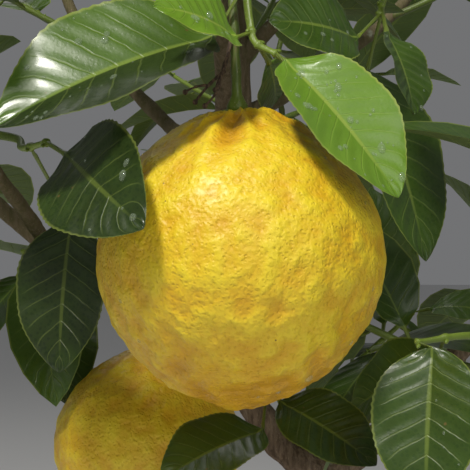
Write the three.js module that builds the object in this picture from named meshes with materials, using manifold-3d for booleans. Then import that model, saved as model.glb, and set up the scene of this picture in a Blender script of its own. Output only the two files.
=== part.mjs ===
// A potted lemon tree of the large-fruited kind: a young standard in a plain clay pot on a saucer.
// Millimetres, +Z up. The origin is the centre of the saucer's underside. The front of the tree, where
// the largest lemon hangs, faces -Y.
import * as THREE from "three";
import { mergeVertices } from "three/addons/utils/BufferGeometryUtils.js";
import Module from "manifold-3d";

const wasm = await Module();
wasm.setup();

// ---------------------------------------------------------------- driving dimensions
const GAP = 0.3; // air left between pieces that touch
const ROUND = 32; // sides of the thrown clay
const ARRIS = 2; // how far the clay's corners are eased

const SAUCER = { radius: 126, height: 24, wall: 6, floor: 6, flare: 6 };
const POT = { footRadius: 92, topRadius: 128, height: 214, wall: 8, floor: 9, drainRadius: 9 };
const RIM = { height: 34, stand: 7, lip: 3 };
const SOIL = { belowRim: 26, dome: 5 };

const TRUNK_RADIUS = 14; // where it leaves the soil
const FLARE = { swell: 4.5, spread: 14 }; // how the trunk widens into the soil
const GRAFT = { height: 62, swell: 3.2, spread: 16 }; // the union's bulge above the soil
const ROOTS = { count: 5, start: 14, reach: 62, drop: 70, radius: 6, turn: 0.4 };

const TWIG = { base: 2.1, tip: 1.2, sides: 5, segments: 3, lift: 0.16 };
const PETIOLE = { length: 11, radius: 1.0 };
const BLADE = { over: 0.35, under: 0.6, rise: 0.62, fall: 0.82 }; // thickness by the midrib, outline powers
const LEAF = { length: 78, slender: 0.56, fold: 0.3, droop: 0.55 };
const CALYX = { radius: 7.5, height: 3.4, lobes: 5, lobe: 0.2, stalkRadius: 2.1, lead: 10, drop: 20 };
const LEAF_CLEARANCE = 2.2; // air kept round a leaf where it passes its neighbours

const degrees = THREE.MathUtils.degToRad;
const point = (x, y, z) => new THREE.Vector3(x, y, z);

// The tree stands on the soil: aboveSoil() takes its heights from there.
const SOIL_TOP = SAUCER.floor + GAP + POT.height - SOIL.belowRim;
const aboveSoil = (x, y, z) => point(x, y, z + SOIL_TOP);

// The largest lemon, which hangs at the front. near() places what grows round it, and keeps its
// distances in proportion to the fruit: they are given for one 118 mm across.
const FRONT = { centre: aboveSoil(0, -200, 326), diameter: 118 };
const near = (x, y, z) => point(x, y, z).multiplyScalar(FRONT.diameter / 118).add(FRONT.centre);

// ---------------------------------------------------------------- solids
// A closed three.js geometry as a solid that can be joined and cut.
function solid(geometry) {
  const bare = new THREE.BufferGeometry();
  bare.setAttribute("position", geometry.getAttribute("position"));
  bare.setIndex(geometry.index);
  const merged = mergeVertices(bare, 1e-4);
  return new wasm.Manifold(
    new wasm.Mesh({
      numProp: 3,
      vertProperties: new Float32Array(merged.attributes.position.array),
      triVerts: new Uint32Array(merged.index.array),
    }),
  );
}

// A solid back as a three.js geometry.
function geometryOf(made) {
  const mesh = made.getMesh();
  const places = new Float32Array(mesh.numVert * 3);
  for (let i = 0; i < mesh.numVert; i++) {
    places.set(mesh.vertProperties.subarray(i * mesh.numProp, i * mesh.numProp + 3), i * 3);
  }
  const geometry = new THREE.BufferGeometry();
  geometry.setAttribute("position", new THREE.BufferAttribute(places, 3));
  geometry.setIndex(new THREE.BufferAttribute(new Uint32Array(mesh.triVerts), 1));
  return geometry;
}

const joined = (solids) => solids.reduce((all, one) => all.add(one));

// Moves each vertex of a geometry to where place() says.
function shape(geometry, place) {
  const at = geometry.getAttribute("position");
  const v = new THREE.Vector3();
  for (let i = 0; i < at.count; i++) {
    const moved = place(v.fromBufferAttribute(at, i));
    at.setXYZ(i, moved.x, moved.y, moved.z);
  }
  return geometry;
}

// A profile of [radius, height] pairs turned about Z.
function turned(profile) {
  const points = profile.map(([radius, height]) => new THREE.Vector2(radius, height));
  return solid(new THREE.LatheGeometry(points, ROUND).rotateX(Math.PI / 2));
}

// A round rod along a curve, as thick as radiusAt(share) says. Frames are carried along the curve so
// that the rod doesn't twist.
function rod(curve, radiusAt, sides, segments) {
  const frames = [];
  let side = null;
  for (let k = 0; k <= segments; k++) {
    const along = curve.getTangent(k / segments);
    const hint = side ?? (Math.abs(along.x) < 0.8 ? point(1, 0, 0) : point(0, 1, 0));
    side = hint.clone().addScaledVector(along, -hint.dot(along)).normalize();
    const front = side.clone().cross(along);
    frames.push({ centre: curve.getPoint(k / segments), side, front, radius: radiusAt(k / segments) });
  }
  const place = (v) => {
    const f = frames[Math.round((v.y + 0.5) * segments)];
    return f.centre.clone().addScaledVector(f.side, v.x * f.radius).addScaledVector(f.front, v.z * f.radius);
  };
  return solid(shape(new THREE.CylinderGeometry(1, 1, 1, sides, segments), place));
}

const taper = (from, to) => (share) => from + (to - from) * share;

// ---------------------------------------------------------------- pot, saucer and soil
const potFoot = SAUCER.floor + GAP;
const potTop = potFoot + POT.height;
const potFloor = potFoot + POT.floor;

// The pot wall's outer radius at a height.
function potRadius(z) {
  return POT.footRadius + ((POT.topRadius - POT.footRadius) * (z - potFoot)) / POT.height;
}

function makeSaucer() {
  const { radius, height, wall, floor, flare } = SAUCER;
  return turned([
    [0, 0],
    [radius - flare, 0],
    [radius, height - ARRIS],
    [radius - ARRIS, height],
    [radius - wall + ARRIS / 2, height],
    [radius - wall - flare, floor],
    [0, floor],
  ]);
}

function makePot() {
  const rimFoot = potTop - RIM.height;
  return turned([
    [POT.drainRadius, potFoot],
    [POT.footRadius - ARRIS, potFoot],
    [POT.footRadius, potFoot + ARRIS],
    [potRadius(rimFoot), rimFoot],
    [potRadius(rimFoot) + RIM.stand, rimFoot + RIM.lip],
    [POT.topRadius + RIM.stand, potTop - RIM.lip],
    [POT.topRadius + RIM.stand - RIM.lip, potTop],
    [POT.topRadius - POT.wall + ARRIS / 2, potTop],
    [POT.topRadius - POT.wall, potTop - ARRIS],
    [potRadius(potFloor) - POT.wall, potFloor],
    [POT.drainRadius, potFloor],
    [POT.drainRadius, potFoot],
  ]);
}

function makeSoil(wood) {
  const low = potFloor + GAP;
  const inner = (z) => potRadius(z) - POT.wall - 2 * GAP;
  const mass = turned([
    [0, low],
    [inner(low), low],
    [inner(SOIL_TOP), SOIL_TOP],
    [inner(SOIL_TOP) * 0.5, SOIL_TOP + SOIL.dome * 0.8],
    [0, SOIL_TOP + SOIL.dome],
  ]);
  return mass.subtract(wood);
}

// ---------------------------------------------------------------- wood
// Each limb is a cubic Bezier, from its root on an older limb to its end, with its two radii. Heights
// are above the soil.
const LIMBS = {
  trunk: { points: [[0, 0, -76], [0, 0, 68], [30, 8, 136], [50, 10, 196]], radii: [TRUNK_RADIUS, 10.5] },
  leader: { points: [[50, 10, 196], [38, 10, 212], [-14, 8, 230], [-8, 14, 306]], radii: [9.5, 8] },
  top: { points: [[-8, 14, 306], [-6, 17, 362], [14, 20, 446], [-4, 10, 558]], radii: [8, 3] },
  right: { points: [[50, 10, 196], [92, 16, 236], [166, 14, 306], [212, -40, 368]], radii: [8.5, 3] },
  left: { points: [[-11, 11, 270], [-60, 12, 302], [-150, 4, 326], [-188, -16, 446]], radii: [7, 3] },
  front: { points: [[-7, 16, 354], [-10, -50, 446], [-12, -146, 508], [-3.6, -194, 438]], radii: [6.4, 2.6] },
  back: { points: [[-9, 13, 292], [0, 84, 326], [10, 148, 426], [24, 206, 440]], radii: [6.4, 3] },
  backLeft: { points: [[-6, 16, 372], [-50, 60, 406], [-104, 108, 446], [-124, 130, 534]], radii: [5, 2.8] },
  backRight: { points: [[-1, 18, 402], [40, 50, 426], [104, 90, 456], [132, 112, 536]], radii: [5, 2.8] },
  frontRight: { points: [[1, 18, 436], [40, -24, 470], [84, -90, 496], [98, -128, 536]], radii: [4.4, 2.6] },
  lowLeft: { points: [[-11, 11, 268], [-22, -20, 312], [-44, -60, 332], [-46, -80, 312]], radii: [5, 2.8] },
  lowRight: { points: [[108, 12, 250], [122, -40, 256], [140, -110, 276], [138, -160, 326]], radii: [4.6, 2.6] },
  sideLeft: { points: [[-92, 9, 316], [-104, -50, 336], [-128, -120, 366], [-116, -160, 406]], radii: [4.6, 2.6] },
};
const WANDER = 2.2; // how far a limb strays from its smooth line
const LIMB_SIDES = 6;
const LIMB_SEGMENTS = 7;
const LIMB_END = 1.15; // the air kept past a limb's end, as a share of its radius there

// A limb's line: its Bezier with a slight waver that dies out at both ends.
class Limb extends THREE.Curve {
  constructor({ points, radii }, index) {
    super();
    this.bezier = new THREE.CubicBezierCurve3(...points.map((p) => aboveSoil(...p)));
    this.radii = radii;
    this.phase = index * 2.4;
  }
  getPoint(share) {
    const waver = WANDER * 4 * share * (1 - share);
    const across = point(Math.sin(9 * share + this.phase), Math.cos(7 * share + this.phase), 0);
    return this.bezier.getPoint(share).addScaledVector(across, waver);
  }
  radius(share) {
    return this.radii[0] + (this.radii[1] - this.radii[0]) * share;
  }
}
const limbs = Object.fromEntries(Object.entries(LIMBS).map(([name, limb], i) => [name, new Limb(limb, i)]));

// How much the trunk swells at a height: a flare at the soil and the graft's bulge above it.
function trunkSwell(z) {
  const above = z - SOIL_TOP;
  const flare = FLARE.swell * Math.exp(-Math.max(above, 0) / FLARE.spread);
  return flare + GRAFT.swell * Math.exp(-(((above - GRAFT.height) / GRAFT.spread) ** 2));
}

// A short plug past a limb's end, which keeps the same air there as round its sides.
function limbEnd(limb, extra) {
  const end = limb.getPoint(1);
  const ahead = limb.getTangent(1).multiplyScalar(extra);
  const line = new THREE.LineCurve3(end.clone().sub(ahead), end.clone().add(ahead));
  return rod(line, () => limb.radii[1] * LIMB_END + extra, LIMB_SIDES, 1);
}

// The trunk, its limbs and its main roots as one piece of wood, grown thicker by extra.
function makeWood(extra) {
  const { trunk, ...branches } = limbs;
  const girth = (share) => trunk.radius(share) + trunkSwell(trunk.getPoint(share).z) + extra;
  const parts = [rod(trunk, girth, 10, 12)];
  for (const limb of Object.values(branches)) {
    parts.push(rod(limb, (share) => limb.radius(share) + extra, LIMB_SIDES, LIMB_SEGMENTS));
    if (extra > 0) parts.push(limbEnd(limb, extra));
  }
  for (let i = 0; i < ROOTS.count; i++) {
    const turn = (i * 2 * Math.PI) / ROOTS.count + ROOTS.turn;
    const out = (reach, depth) => aboveSoil(Math.cos(turn) * reach, Math.sin(turn) * reach, -depth);
    const line = new THREE.QuadraticBezierCurve3(
      out(2, ROOTS.start),
      out(ROOTS.reach * 0.6, ROOTS.start * 1.3),
      out(ROOTS.reach, ROOTS.drop),
    );
    parts.push(rod(line, (share) => ROOTS.radius * (1 - 0.7 * share) + extra, 5, 3));
  }
  return joined(parts);
}

// ---------------------------------------------------------------- lemons
// A lemon hangs from its limb's end. Its centre, diameter and the way its neck leans are its own.
const LEMONS = {
  front: { ...FRONT, lean: [-0.02, -0.02], limb: "front" },
  low: { centre: near(-46, 120, -94), diameter: 92, lean: [0.06, 0.03], limb: "lowLeft" },
  right: { centre: aboveSoil(217, -62, 294), diameter: 96, lean: [-0.03, 0.08], limb: "right" },
  back: { centre: aboveSoil(30, 222, 368), diameter: 84, lean: [0.05, -0.06], limb: "back" },
};

// The peel's relief, in shares of the radius, with each feature's spread as an angle.
const PEEL = {
  neck: { height: 0.075, spread: 0.34, uneven: 0.5 },
  dimple: { depth: 0.075, spread: 0.13 },
  nipple: { height: 0.05, spread: 0.22 },
  furrows: { count: 6, depth: 0.012, at: 0.36, spread: 0.24 },
  lumps: { round: 0.008, down: 0.006 },
};

const bump = (angle, spread) => Math.exp(-((angle / spread) ** 2));

// The peel's distance from the centre, as a share of the radius, at an angle from the neck and round
// the axis: a low neck round the stalk's dimple, a nipple below, and broad furrows that fade out.
function peel(fromNeck, round) {
  const { neck, dimple, nipple, furrows, lumps } = PEEL;
  const offAxis = Math.min(1, 3 * Math.sin(fromNeck)); // nothing varies round the axis at the poles
  const uneven = 1 + neck.uneven * offAxis * Math.cos(round - 0.3);
  const ends = neck.height * bump(fromNeck, neck.spread) * uneven - dimple.depth * bump(fromNeck, dimple.spread);
  const tip = nipple.height * bump(Math.PI - fromNeck, nipple.spread);
  const band = bump(fromNeck - furrows.at, furrows.spread);
  const creases = furrows.depth * offAxis * Math.cos(furrows.count * round + 0.8) * band;
  const swells = lumps.round * Math.sin(3 * round + 1.2) * Math.sin(fromNeck) + lumps.down * Math.sin(5 * fromNeck);
  return 1 + ends + tip + creases + swells;
}

// The turn that leans a lemon's upright axis.
function leaning([x, y]) {
  return new THREE.Quaternion().setFromEuler(new THREE.Euler(-y, x, 0));
}

function makeLemon({ centre, diameter, lean }, extra) {
  const turn = leaning(lean);
  const place = (v) => {
    const up = point(v.x, -v.z, v.y);
    const reach = peel(Math.acos(THREE.MathUtils.clamp(up.z, -1, 1)), Math.atan2(up.y, up.x));
    return up.multiplyScalar((diameter / 2) * reach + extra).applyQuaternion(turn).add(centre);
  };
  return solid(shape(new THREE.SphereGeometry(1, 18, 13), place));
}

// The stalk and the star-shaped calyx that stay on the tree when the fruit is picked.
function makeStalk({ centre, diameter, lean, limb }) {
  const turn = leaning(lean);
  const seat = (diameter / 2) * peel(0, 0);
  const local = (x, y, z) => point(x, y, z).applyQuaternion(turn).add(centre);
  const top = limbs[limb].getPoint(1);
  const foot = local(0, 0, seat + CALYX.height * 0.5);
  const ahead = limbs[limb].getTangent(1).multiplyScalar(CALYX.lead).add(top);
  const line = new THREE.CubicBezierCurve3(top, ahead, local(0, 0, seat + CALYX.drop), foot);
  const stem = rod(line, taper(CALYX.stalkRadius, CALYX.stalkRadius * 1.35), 6, 6);
  const disc = new THREE.CylinderGeometry(0.45, 1, CALYX.height, CALYX.lobes * 2, 1);
  const place = (v) => {
    const lobed = 1 + CALYX.lobe * Math.cos(CALYX.lobes * Math.atan2(v.z, v.x));
    const size = CALYX.radius * lobed;
    return local(v.x * size, -v.z * size, seat + CALYX.height * 0.2 + v.y);
  };
  return stem.add(solid(shape(disc, place)));
}

// ---------------------------------------------------------------- leaves
// A leaf's frame: stem is where its stalk starts, base where its blade starts, heading the way the
// blade leaves its base, and up the way its upper face looks there.
function leafBetween({ stem, base, tip, facing, width, fold = LEAF.fold, droop = LEAF.droop, twist = 0 }) {
  const chord = tip.clone().sub(base);
  const length = (chord.length() * (droop / 2)) / Math.sin(droop / 2);
  chord.normalize();
  const over = facing.clone().addScaledVector(chord, -facing.dot(chord)).normalize();
  const half = droop / 2;
  const heading = chord.clone().multiplyScalar(Math.cos(half)).addScaledVector(over, Math.sin(half));
  const up = over.clone().multiplyScalar(Math.cos(half)).addScaledVector(chord, -Math.sin(half));
  return { stem, base, heading, up, length, width, fold, droop, twist };
}

// Half the blade's width at a share of its length, as a share of its widest.
function outline(s) {
  const { rise, fall } = BLADE;
  const widest = rise / (rise + fall);
  return (s ** rise * (1 - s) ** fall) / (widest ** rise * (1 - widest) ** fall);
}

// A point of a leaf: s runs from -1 at the stalk's start, through 0 at the blade's base, to 1 at its
// tip. across runs from margin to margin, and lift from the under side to the upper one.
function leafPoint(leaf, s, across, lift, extra) {
  const stalk = s <= 0;
  const bend = stalk ? 0 : leaf.droop * s;
  const heading = leaf.heading.clone().multiplyScalar(Math.cos(bend)).addScaledVector(leaf.up, -Math.sin(bend));
  const over = leaf.up.clone().multiplyScalar(Math.cos(bend)).addScaledVector(leaf.heading, Math.sin(bend));
  const side = leaf.heading.clone().cross(leaf.up).applyAxisAngle(heading, leaf.twist * bend);
  over.applyAxisAngle(heading, leaf.twist * bend);
  const radius = leaf.length / leaf.droop;
  const middle = stalk
    ? leaf.base.clone().lerp(leaf.stem, -s)
    : leaf.base
        .clone()
        .addScaledVector(leaf.heading, radius * Math.sin(bend))
        .addScaledVector(leaf.up, -radius * (1 - Math.cos(bend)));
  const half = stalk ? PETIOLE.radius : Math.max(PETIOLE.radius, (leaf.width / 2) * outline(s));
  const thick = stalk ? PETIOLE.radius : lift > 0 ? BLADE.over : BLADE.under;
  const fold = stalk ? 0 : leaf.fold * (1 - 0.4 * s) * Math.min(1, s * 8);
  const out = s < 1 ? (half + extra) * across : 0;
  const raised = Math.abs(out) * Math.sin(fold) + (s < 1 ? (thick + extra) * lift : 0);
  return middle.addScaledVector(side, out * Math.cos(fold)).addScaledVector(over, raised);
}

const STATIONS = [-1, 0, 0.3, 0.68, 1];
const FINE_STATIONS = [-1, 0, 0.1, 0.28, 0.5, 0.7, 0.88, 1];

// A four-sided cone. Two of its columns have their cells cut along the other diagonal, so that a leaf's
// two faces are cut alike and never pass through each other.
function leafCone(segments) {
  const cone = new THREE.ConeGeometry(1, 1, 4, segments);
  const corners = cone.index.array;
  const column = 3 * (2 * segments - 1);
  for (const start of [column, 3 * column]) {
    for (let at = start + 3; at < start + column; at += 6) {
      corners[at + 2] = corners[at + 4];
      corners[at + 3] = corners[at];
    }
  }
  return cone;
}

// A leaf is that cone laid out flat: two corners are its margins, two its midrib's faces.
function leafSolid(leaf, stations = STATIONS, extra = 0) {
  const segments = stations.length - 1;
  const place = (v) => {
    const row = Math.round((v.y + 0.5) * segments);
    const full = 1 - row / segments || 1;
    return leafPoint(leaf, stations[row], v.x / full, v.z / full, extra);
  };
  return solid(shape(leafCone(segments), place));
}

// ---------------------------------------------------------------- shoots
// A shoot's axis: it leaves its limb in a direction and turns up towards the light.
class Twig extends THREE.Curve {
  constructor(root, direction, length) {
    super();
    Object.assign(this, { root, direction, length });
  }
  getPoint(share) {
    const rise = TWIG.lift * this.length * share * share;
    return this.root.clone().addScaledVector(this.direction, this.length * share).add(point(0, 0, rise));
  }
}

const aim = (azimuth, rise) =>
  point(
    Math.cos(degrees(azimuth)) * Math.cos(degrees(rise)),
    Math.sin(degrees(azimuth)) * Math.cos(degrees(rise)),
    Math.sin(degrees(rise)),
  );

// A repeatable number from 0 to 1 for the i-th piece of the k-th kind of choice.
const vary = (i, k) => (i * 0.7548776662 + k * 0.569840291) % 1;

// How leaves sit on a shoot. Each leans along the twig by lay, droops by sag and looks up to the light
// and outwards; the ranges are [least, how much more].
const SPRAY = {
  first: 0.16, // share of the twig below the first leaf
  golden: 137.5, // degrees round the twig from leaf to leaf
  lay: [0.55, 0.5],
  lastLay: 1.5,
  sag: [0.22, 0.3],
  size: [0.74, 0.38],
  lastSize: 0.8,
  slender: [0.9, 0.2],
  fold: [0.4, 0.9],
  droop: [0.5, 1.1],
  twist: [-0.35, 0.7],
  off: 0.35, // how much the upper face looks off the twig, and out of the tree
  out: 0.55,
};
// How far a leaf or a twig turns to find room, and how much further up or down a twig then grows, in degrees.
const TRIES = [0, 28, -28, 56, -56, 84, -84, 112];
const LIFTS = [0, 25, -25];

// The i-th leaf of a shoot. Each try turns it further round the twig.
function shootLeaf(shoot, twig, i, attempt) {
  const ranged = ([least, more], k) => least + more * vary(i + shoot.phase, k);
  const last = i === shoot.leaves - 1;
  const share = SPRAY.first + ((1 - SPRAY.first) * (i + 1)) / shoot.leaves;
  const along = twig.getTangent(share);
  const hint = Math.abs(along.z) < 0.93 ? point(0, 0, 1) : point(0, 1, 0);
  const side = along.clone().cross(hint).normalize();
  const front = side.clone().cross(along);
  const turn = degrees(shoot.phase + i * SPRAY.golden + TRIES[attempt]);
  const out = side.multiplyScalar(Math.cos(turn)).addScaledVector(front, Math.sin(turn));
  const heading = out.clone().addScaledVector(along, last ? SPRAY.lastLay : ranged(SPRAY.lay, 1));
  heading.z -= ranged(SPRAY.sag, 2);
  heading.normalize();
  const light = point(0, 0, 1).addScaledVector(out, SPRAY.off).addScaledVector(aim(shoot.azimuth, 0), SPRAY.out);
  const up = light.addScaledVector(heading, -light.dot(heading)).normalize();
  const length = LEAF.length * ranged(SPRAY.size, 3) * (last ? SPRAY.lastSize : 1);
  const stem = twig.getPoint(share);
  return {
    stem,
    base: stem.clone().addScaledVector(heading, PETIOLE.length),
    heading,
    up,
    length,
    width: length * LEAF.slender * ranged(SPRAY.slender, 4),
    fold: LEAF.fold * ranged(SPRAY.fold, 5),
    droop: LEAF.droop * ranged(SPRAY.droop, 6),
    twist: ranged(SPRAY.twist, 7),
  };
}

// [limb, share along it, azimuth, rise, length, leaves]: azimuth is in degrees from +X towards +Y.
const SHOOTS = [
  ["top", 1.0, 80, 76, 74, 7],
  ["top", 0.78, 205, 34, 92, 7],
  ["top", 0.7, 335, 38, 92, 7],
  ["top", 0.86, 282, 30, 84, 6],
  ["top", 0.6, 95, 34, 96, 6],
  ["right", 0.93, 350, 52, 82, 7],
  ["right", 0.86, 40, 30, 92, 7],
  ["right", 0.72, 300, 22, 86, 6],
  ["right", 0.52, 62, 34, 92, 6],
  ["left", 1.0, 160, 62, 82, 7],
  ["left", 0.84, 238, 30, 92, 7],
  ["left", 0.66, 132, 26, 92, 6],
  ["left", 0.46, 262, -4, 96, 8],
  ["front", 0.5, 225, 44, 90, 7],
  ["front", 0.6, 320, 40, 90, 7],
  ["front", 0.76, 262, 58, 66, 6],
  ["back", 0.92, 60, 60, 84, 7],
  ["back", 0.74, 140, 16, 92, 7],
  ["back", 0.7, 30, 16, 92, 7],
  ["back", 0.42, 100, -6, 84, 6],
  ["backLeft", 1.0, 120, 62, 80, 7],
  ["backLeft", 0.66, 186, 22, 92, 6],
  ["backRight", 1.0, 40, 58, 80, 7],
  ["backRight", 0.66, 350, 20, 92, 6],
  ["frontRight", 1.0, 300, 52, 78, 7],
  ["lowRight", 1.0, 270, 40, 84, 7],
  ["lowRight", 0.42, 180, 16, 98, 8],
  ["sideLeft", 1.0, 230, 44, 78, 7],
  ["sideLeft", 0.55, 190, 0, 90, 8],
  ["leader", 0.5, 305, 30, 96, 8],
].map(([limb, share, azimuth, rise, length, leaves], i) => ({
  name: `leafy_shoot_${String(i + 1).padStart(2, "0")}`,
  limb,
  share,
  azimuth,
  rise,
  length,
  leaves,
  phase: i * 53,
}));

// The twigs round the largest lemon, each a line through a few points, with their own leaves.
const TWIGS = {
  twig_front: [limbs.front.getPoint(0.93), near(2, -2, 112), near(4, -10, 96), near(6, -14, 87), near(14, -16, 82)],
  twig_left: [limbs.sideLeft.getPoint(0.8), near(-98, 44, 52), near(-93, 24, 47), near(-80, 4, 48)],
  twig_upper: [limbs.frontRight.getPoint(0.7), near(70, 60, 128), near(64, 46, 116), near(61, 36, 106)],
  twig_right: [limbs.lowRight.getPoint(0.74), near(112, 20, -34), near(92, 4, -32), near(72, -4, -34)],
  twig_low: [limbs.lowLeft.getPoint(0.45), near(-4, 96, -24), near(8, 70, -44), near(14, 46, -58)],
};

// Those leaves, from where the stalk starts to the tip, with the way the upper face looks.
const LEAVES = {
  leaf_upper_left: {
    on: "twig_front", at: 0.25, base: near(-11, -4, 90), tip: near(-94, -36, 51), facing: point(-0.2, -0.72, 0.66),
    width: 66, fold: 0.4, droop: 0.42,
  },
  leaf_young: {
    on: "twig_front", at: 0.62, base: near(-2, -19, 88), tip: near(-33, -44, 96), facing: point(0.1, -0.75, 0.66),
    width: 36, fold: 0.3, droop: 0.6,
  },
  leaf_right: {
    on: "twig_front", at: 1, base: near(18, -16, 79), tip: near(61, -36, 24), facing: point(0.5, -0.85, 0.25),
    width: 47, fold: 0.42, droop: 0.35,
  },
  leaf_small: {
    on: "twig_front", at: 0.8, base: near(12, -2, 80), tip: near(15, 24, 66), facing: point(0.1, -0.9, 0.3),
    width: 25, fold: 0.2, droop: 0.3,
  },
  leaf_left: {
    on: "twig_left", at: 1, base: near(-70, -8, 42), tip: near(-35, -66, 12), facing: point(-0.58, -0.53, 0.46),
    width: 48, fold: 0.2, droop: 0.5,
  },
  leaf_far_left: {
    on: "twig_left", at: 0.8, base: near(-74, 40, 16), tip: near(-78, 30, -50), facing: point(-0.3, -0.9, 0.2),
    width: 44, fold: 0.2, droop: 0.3,
  },
  leaf_upper_right: {
    on: "twig_upper", at: 1, base: near(50, 26, 94), tip: near(12, 4, 98), facing: point(0.1, -0.8, 0.5),
    width: 40, fold: 0.2, droop: 0.6,
  },
  leaf_edge: {
    on: "twig_upper", at: 0.85, base: near(63, 24, 96), tip: near(73, 12, 60), facing: point(0.7, -0.5, 0.5),
    width: 34, fold: 0.3, droop: 0.4,
  },
  leaf_behind_right: {
    on: "twig_upper", at: 0.5, base: near(58, 62, 84), tip: near(82, 40, -2), facing: point(0.5, -0.8, 0.4),
    width: 46, fold: 0.25, droop: 0.3,
  },
  leaf_low_right: {
    on: "twig_right", at: 1, base: near(78, -8, -36), tip: near(73, -24, -98), facing: point(-0.35, -0.9, 0.2),
    width: 46, fold: 0.25, droop: 0.35,
  },
  leaf_under_right: {
    on: "twig_right", at: 0.8, base: near(86, 34, -44), tip: near(50, 60, -72), facing: point(-0.2, -0.7, 0.7),
    width: 40, fold: 0.2, droop: 0.4,
  },
  leaf_under: {
    on: "twig_low", at: 1, base: near(18, 40, -64), tip: near(58, 18, -88), facing: point(0.1, -0.7, 0.6),
    width: 35, fold: 0.2, droop: 0.4,
  },
  leaf_low_left: {
    on: "twig_low", at: 0.92, base: near(10, 36, -76), tip: near(-33, 10, -93), facing: point(0.1, -0.45, 0.9),
    width: 38, fold: 0.25, droop: 0.4,
  },
};

// ---------------------------------------------------------------- finishes
const finish = (color, roughness) => new THREE.MeshStandardMaterial({ color, roughness, metalness: 0 });
const FINISHES = {
  clay: finish(0xb5673f, 0.85),
  soil: finish(0x33241a, 0.95),
  bark: finish(0x6d5c48, 0.85),
  green: finish(0x6d8a3a, 0.6),
  peel: finish(0xe9b81c, 0.4),
  leaf: finish(0x3f6b24, 0.4),
};

// ---------------------------------------------------------------- assembly
const tree = new THREE.Group();
const placed = []; // every solid so far, with its box

const remember = (made) => ({ made, box: made.boundingBox() });
const boxesMeet = (a, b) => [0, 1, 2].every((k) => a.min[k] <= b.max[k] && b.min[k] <= a.max[k]);

// Whether a solid runs into any of the others.
function meets(made, others = placed) {
  const box = made.boundingBox();
  return others.some((other) => boxesMeet(box, other.box) && !made.intersect(other.made).isEmpty());
}

// The largest body of a cut solid: what it is cut back by can leave slivers behind.
function largest(made) {
  return made.decompose().reduce((big, one) => (one.volume() > big.volume() ? one : big));
}

function put(name, made, material) {
  const mesh = new THREE.Mesh(geometryOf(made), material);
  mesh.name = name;
  tree.add(mesh);
  placed.push(remember(made));
}

const wood = makeWood(0);
const woodRoom = makeWood(GAP);
put("saucer", makeSaucer(), FINISHES.clay);
put("pot", makePot(), FINISHES.clay);
put("soil", makeSoil(woodRoom), FINISHES.soil);
put("trunk_and_branches", wood, FINISHES.bark);

for (const [name, lemon] of Object.entries(LEMONS)) {
  put(`lemon_${name}`, makeLemon(lemon, 0), FINISHES.peel);
  const stalk = makeStalk(lemon).subtract(makeLemon(lemon, GAP)).subtract(woodRoom);
  put(`stalk_${name}`, largest(stalk), FINISHES.green);
}

const twigLines = {};
const twigRooms = {};
for (const [name, points] of Object.entries(TWIGS)) {
  const line = new THREE.CatmullRomCurve3(points);
  const twig = (extra) => rod(line, taper(TWIG.base + extra, TWIG.tip + extra), TWIG.sides, 7);
  twigLines[name] = line;
  twigRooms[name] = twig(GAP);
  put(name, largest(twig(0).subtract(woodRoom)), FINISHES.green);
}

for (const [name, { on, at, ...form }] of Object.entries(LEAVES)) {
  const leaf = leafBetween({ stem: twigLines[on].getPoint(at), ...form });
  put(name, largest(leafSolid(leaf, FINE_STATIONS).subtract(twigRooms[on])), FINISHES.leaf);
}

// A shoot's leaves, each turned until it has room. One that finds none doesn't grow.
function leavesOf(shoot, twig) {
  const blades = [];
  for (let i = 0; i < shoot.leaves; i++) {
    for (let attempt = 0; attempt < TRIES.length; attempt++) {
      const leaf = shootLeaf(shoot, twig, i, attempt);
      const made = leafSolid(leaf);
      const room = leafSolid({ ...leaf, stem: leaf.base }, STATIONS.slice(1), LEAF_CLEARANCE);
      if (meets(made) || meets(room, [...placed, ...blades])) continue;
      blades.push(remember(made));
      break;
    }
  }
  return blades.map((blade) => blade.made);
}

// Each shoot leaves its limb in the first direction that is free.
for (const shoot of SHOOTS) {
  const root = limbs[shoot.limb].getPoint(shoot.share);
  const ways = LIFTS.flatMap((lift) => TRIES.map((turn) => aim(shoot.azimuth + turn, shoot.rise + lift)));
  const twigs = ways.map((way) => new Twig(root, way, shoot.length));
  const rods = twigs.map((twig) => {
    const made = rod(twig, taper(TWIG.base, TWIG.tip), TWIG.sides, TWIG.segments);
    return largest(made.subtract(woodRoom));
  });
  const pick = Math.max(0, rods.findIndex((made) => !meets(made)));
  put(shoot.name, joined([rods[pick], ...leavesOf(shoot, twigs[pick])]), FINISHES.leaf);
}

export default tree;
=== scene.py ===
"""A potted lemon tree of the large-fruited kind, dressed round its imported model.

Metres, +Z up. The front of the tree, where the largest lemon hangs, faces -Y.
"""

import logging
import math
import random
from collections.abc import Callable, Sequence
from dataclasses import dataclass, field
from enum import Enum

import bmesh
import bpy
from mathutils import Matrix, Quaternion, Vector, noise
from mathutils.kdtree import KDTree


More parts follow.
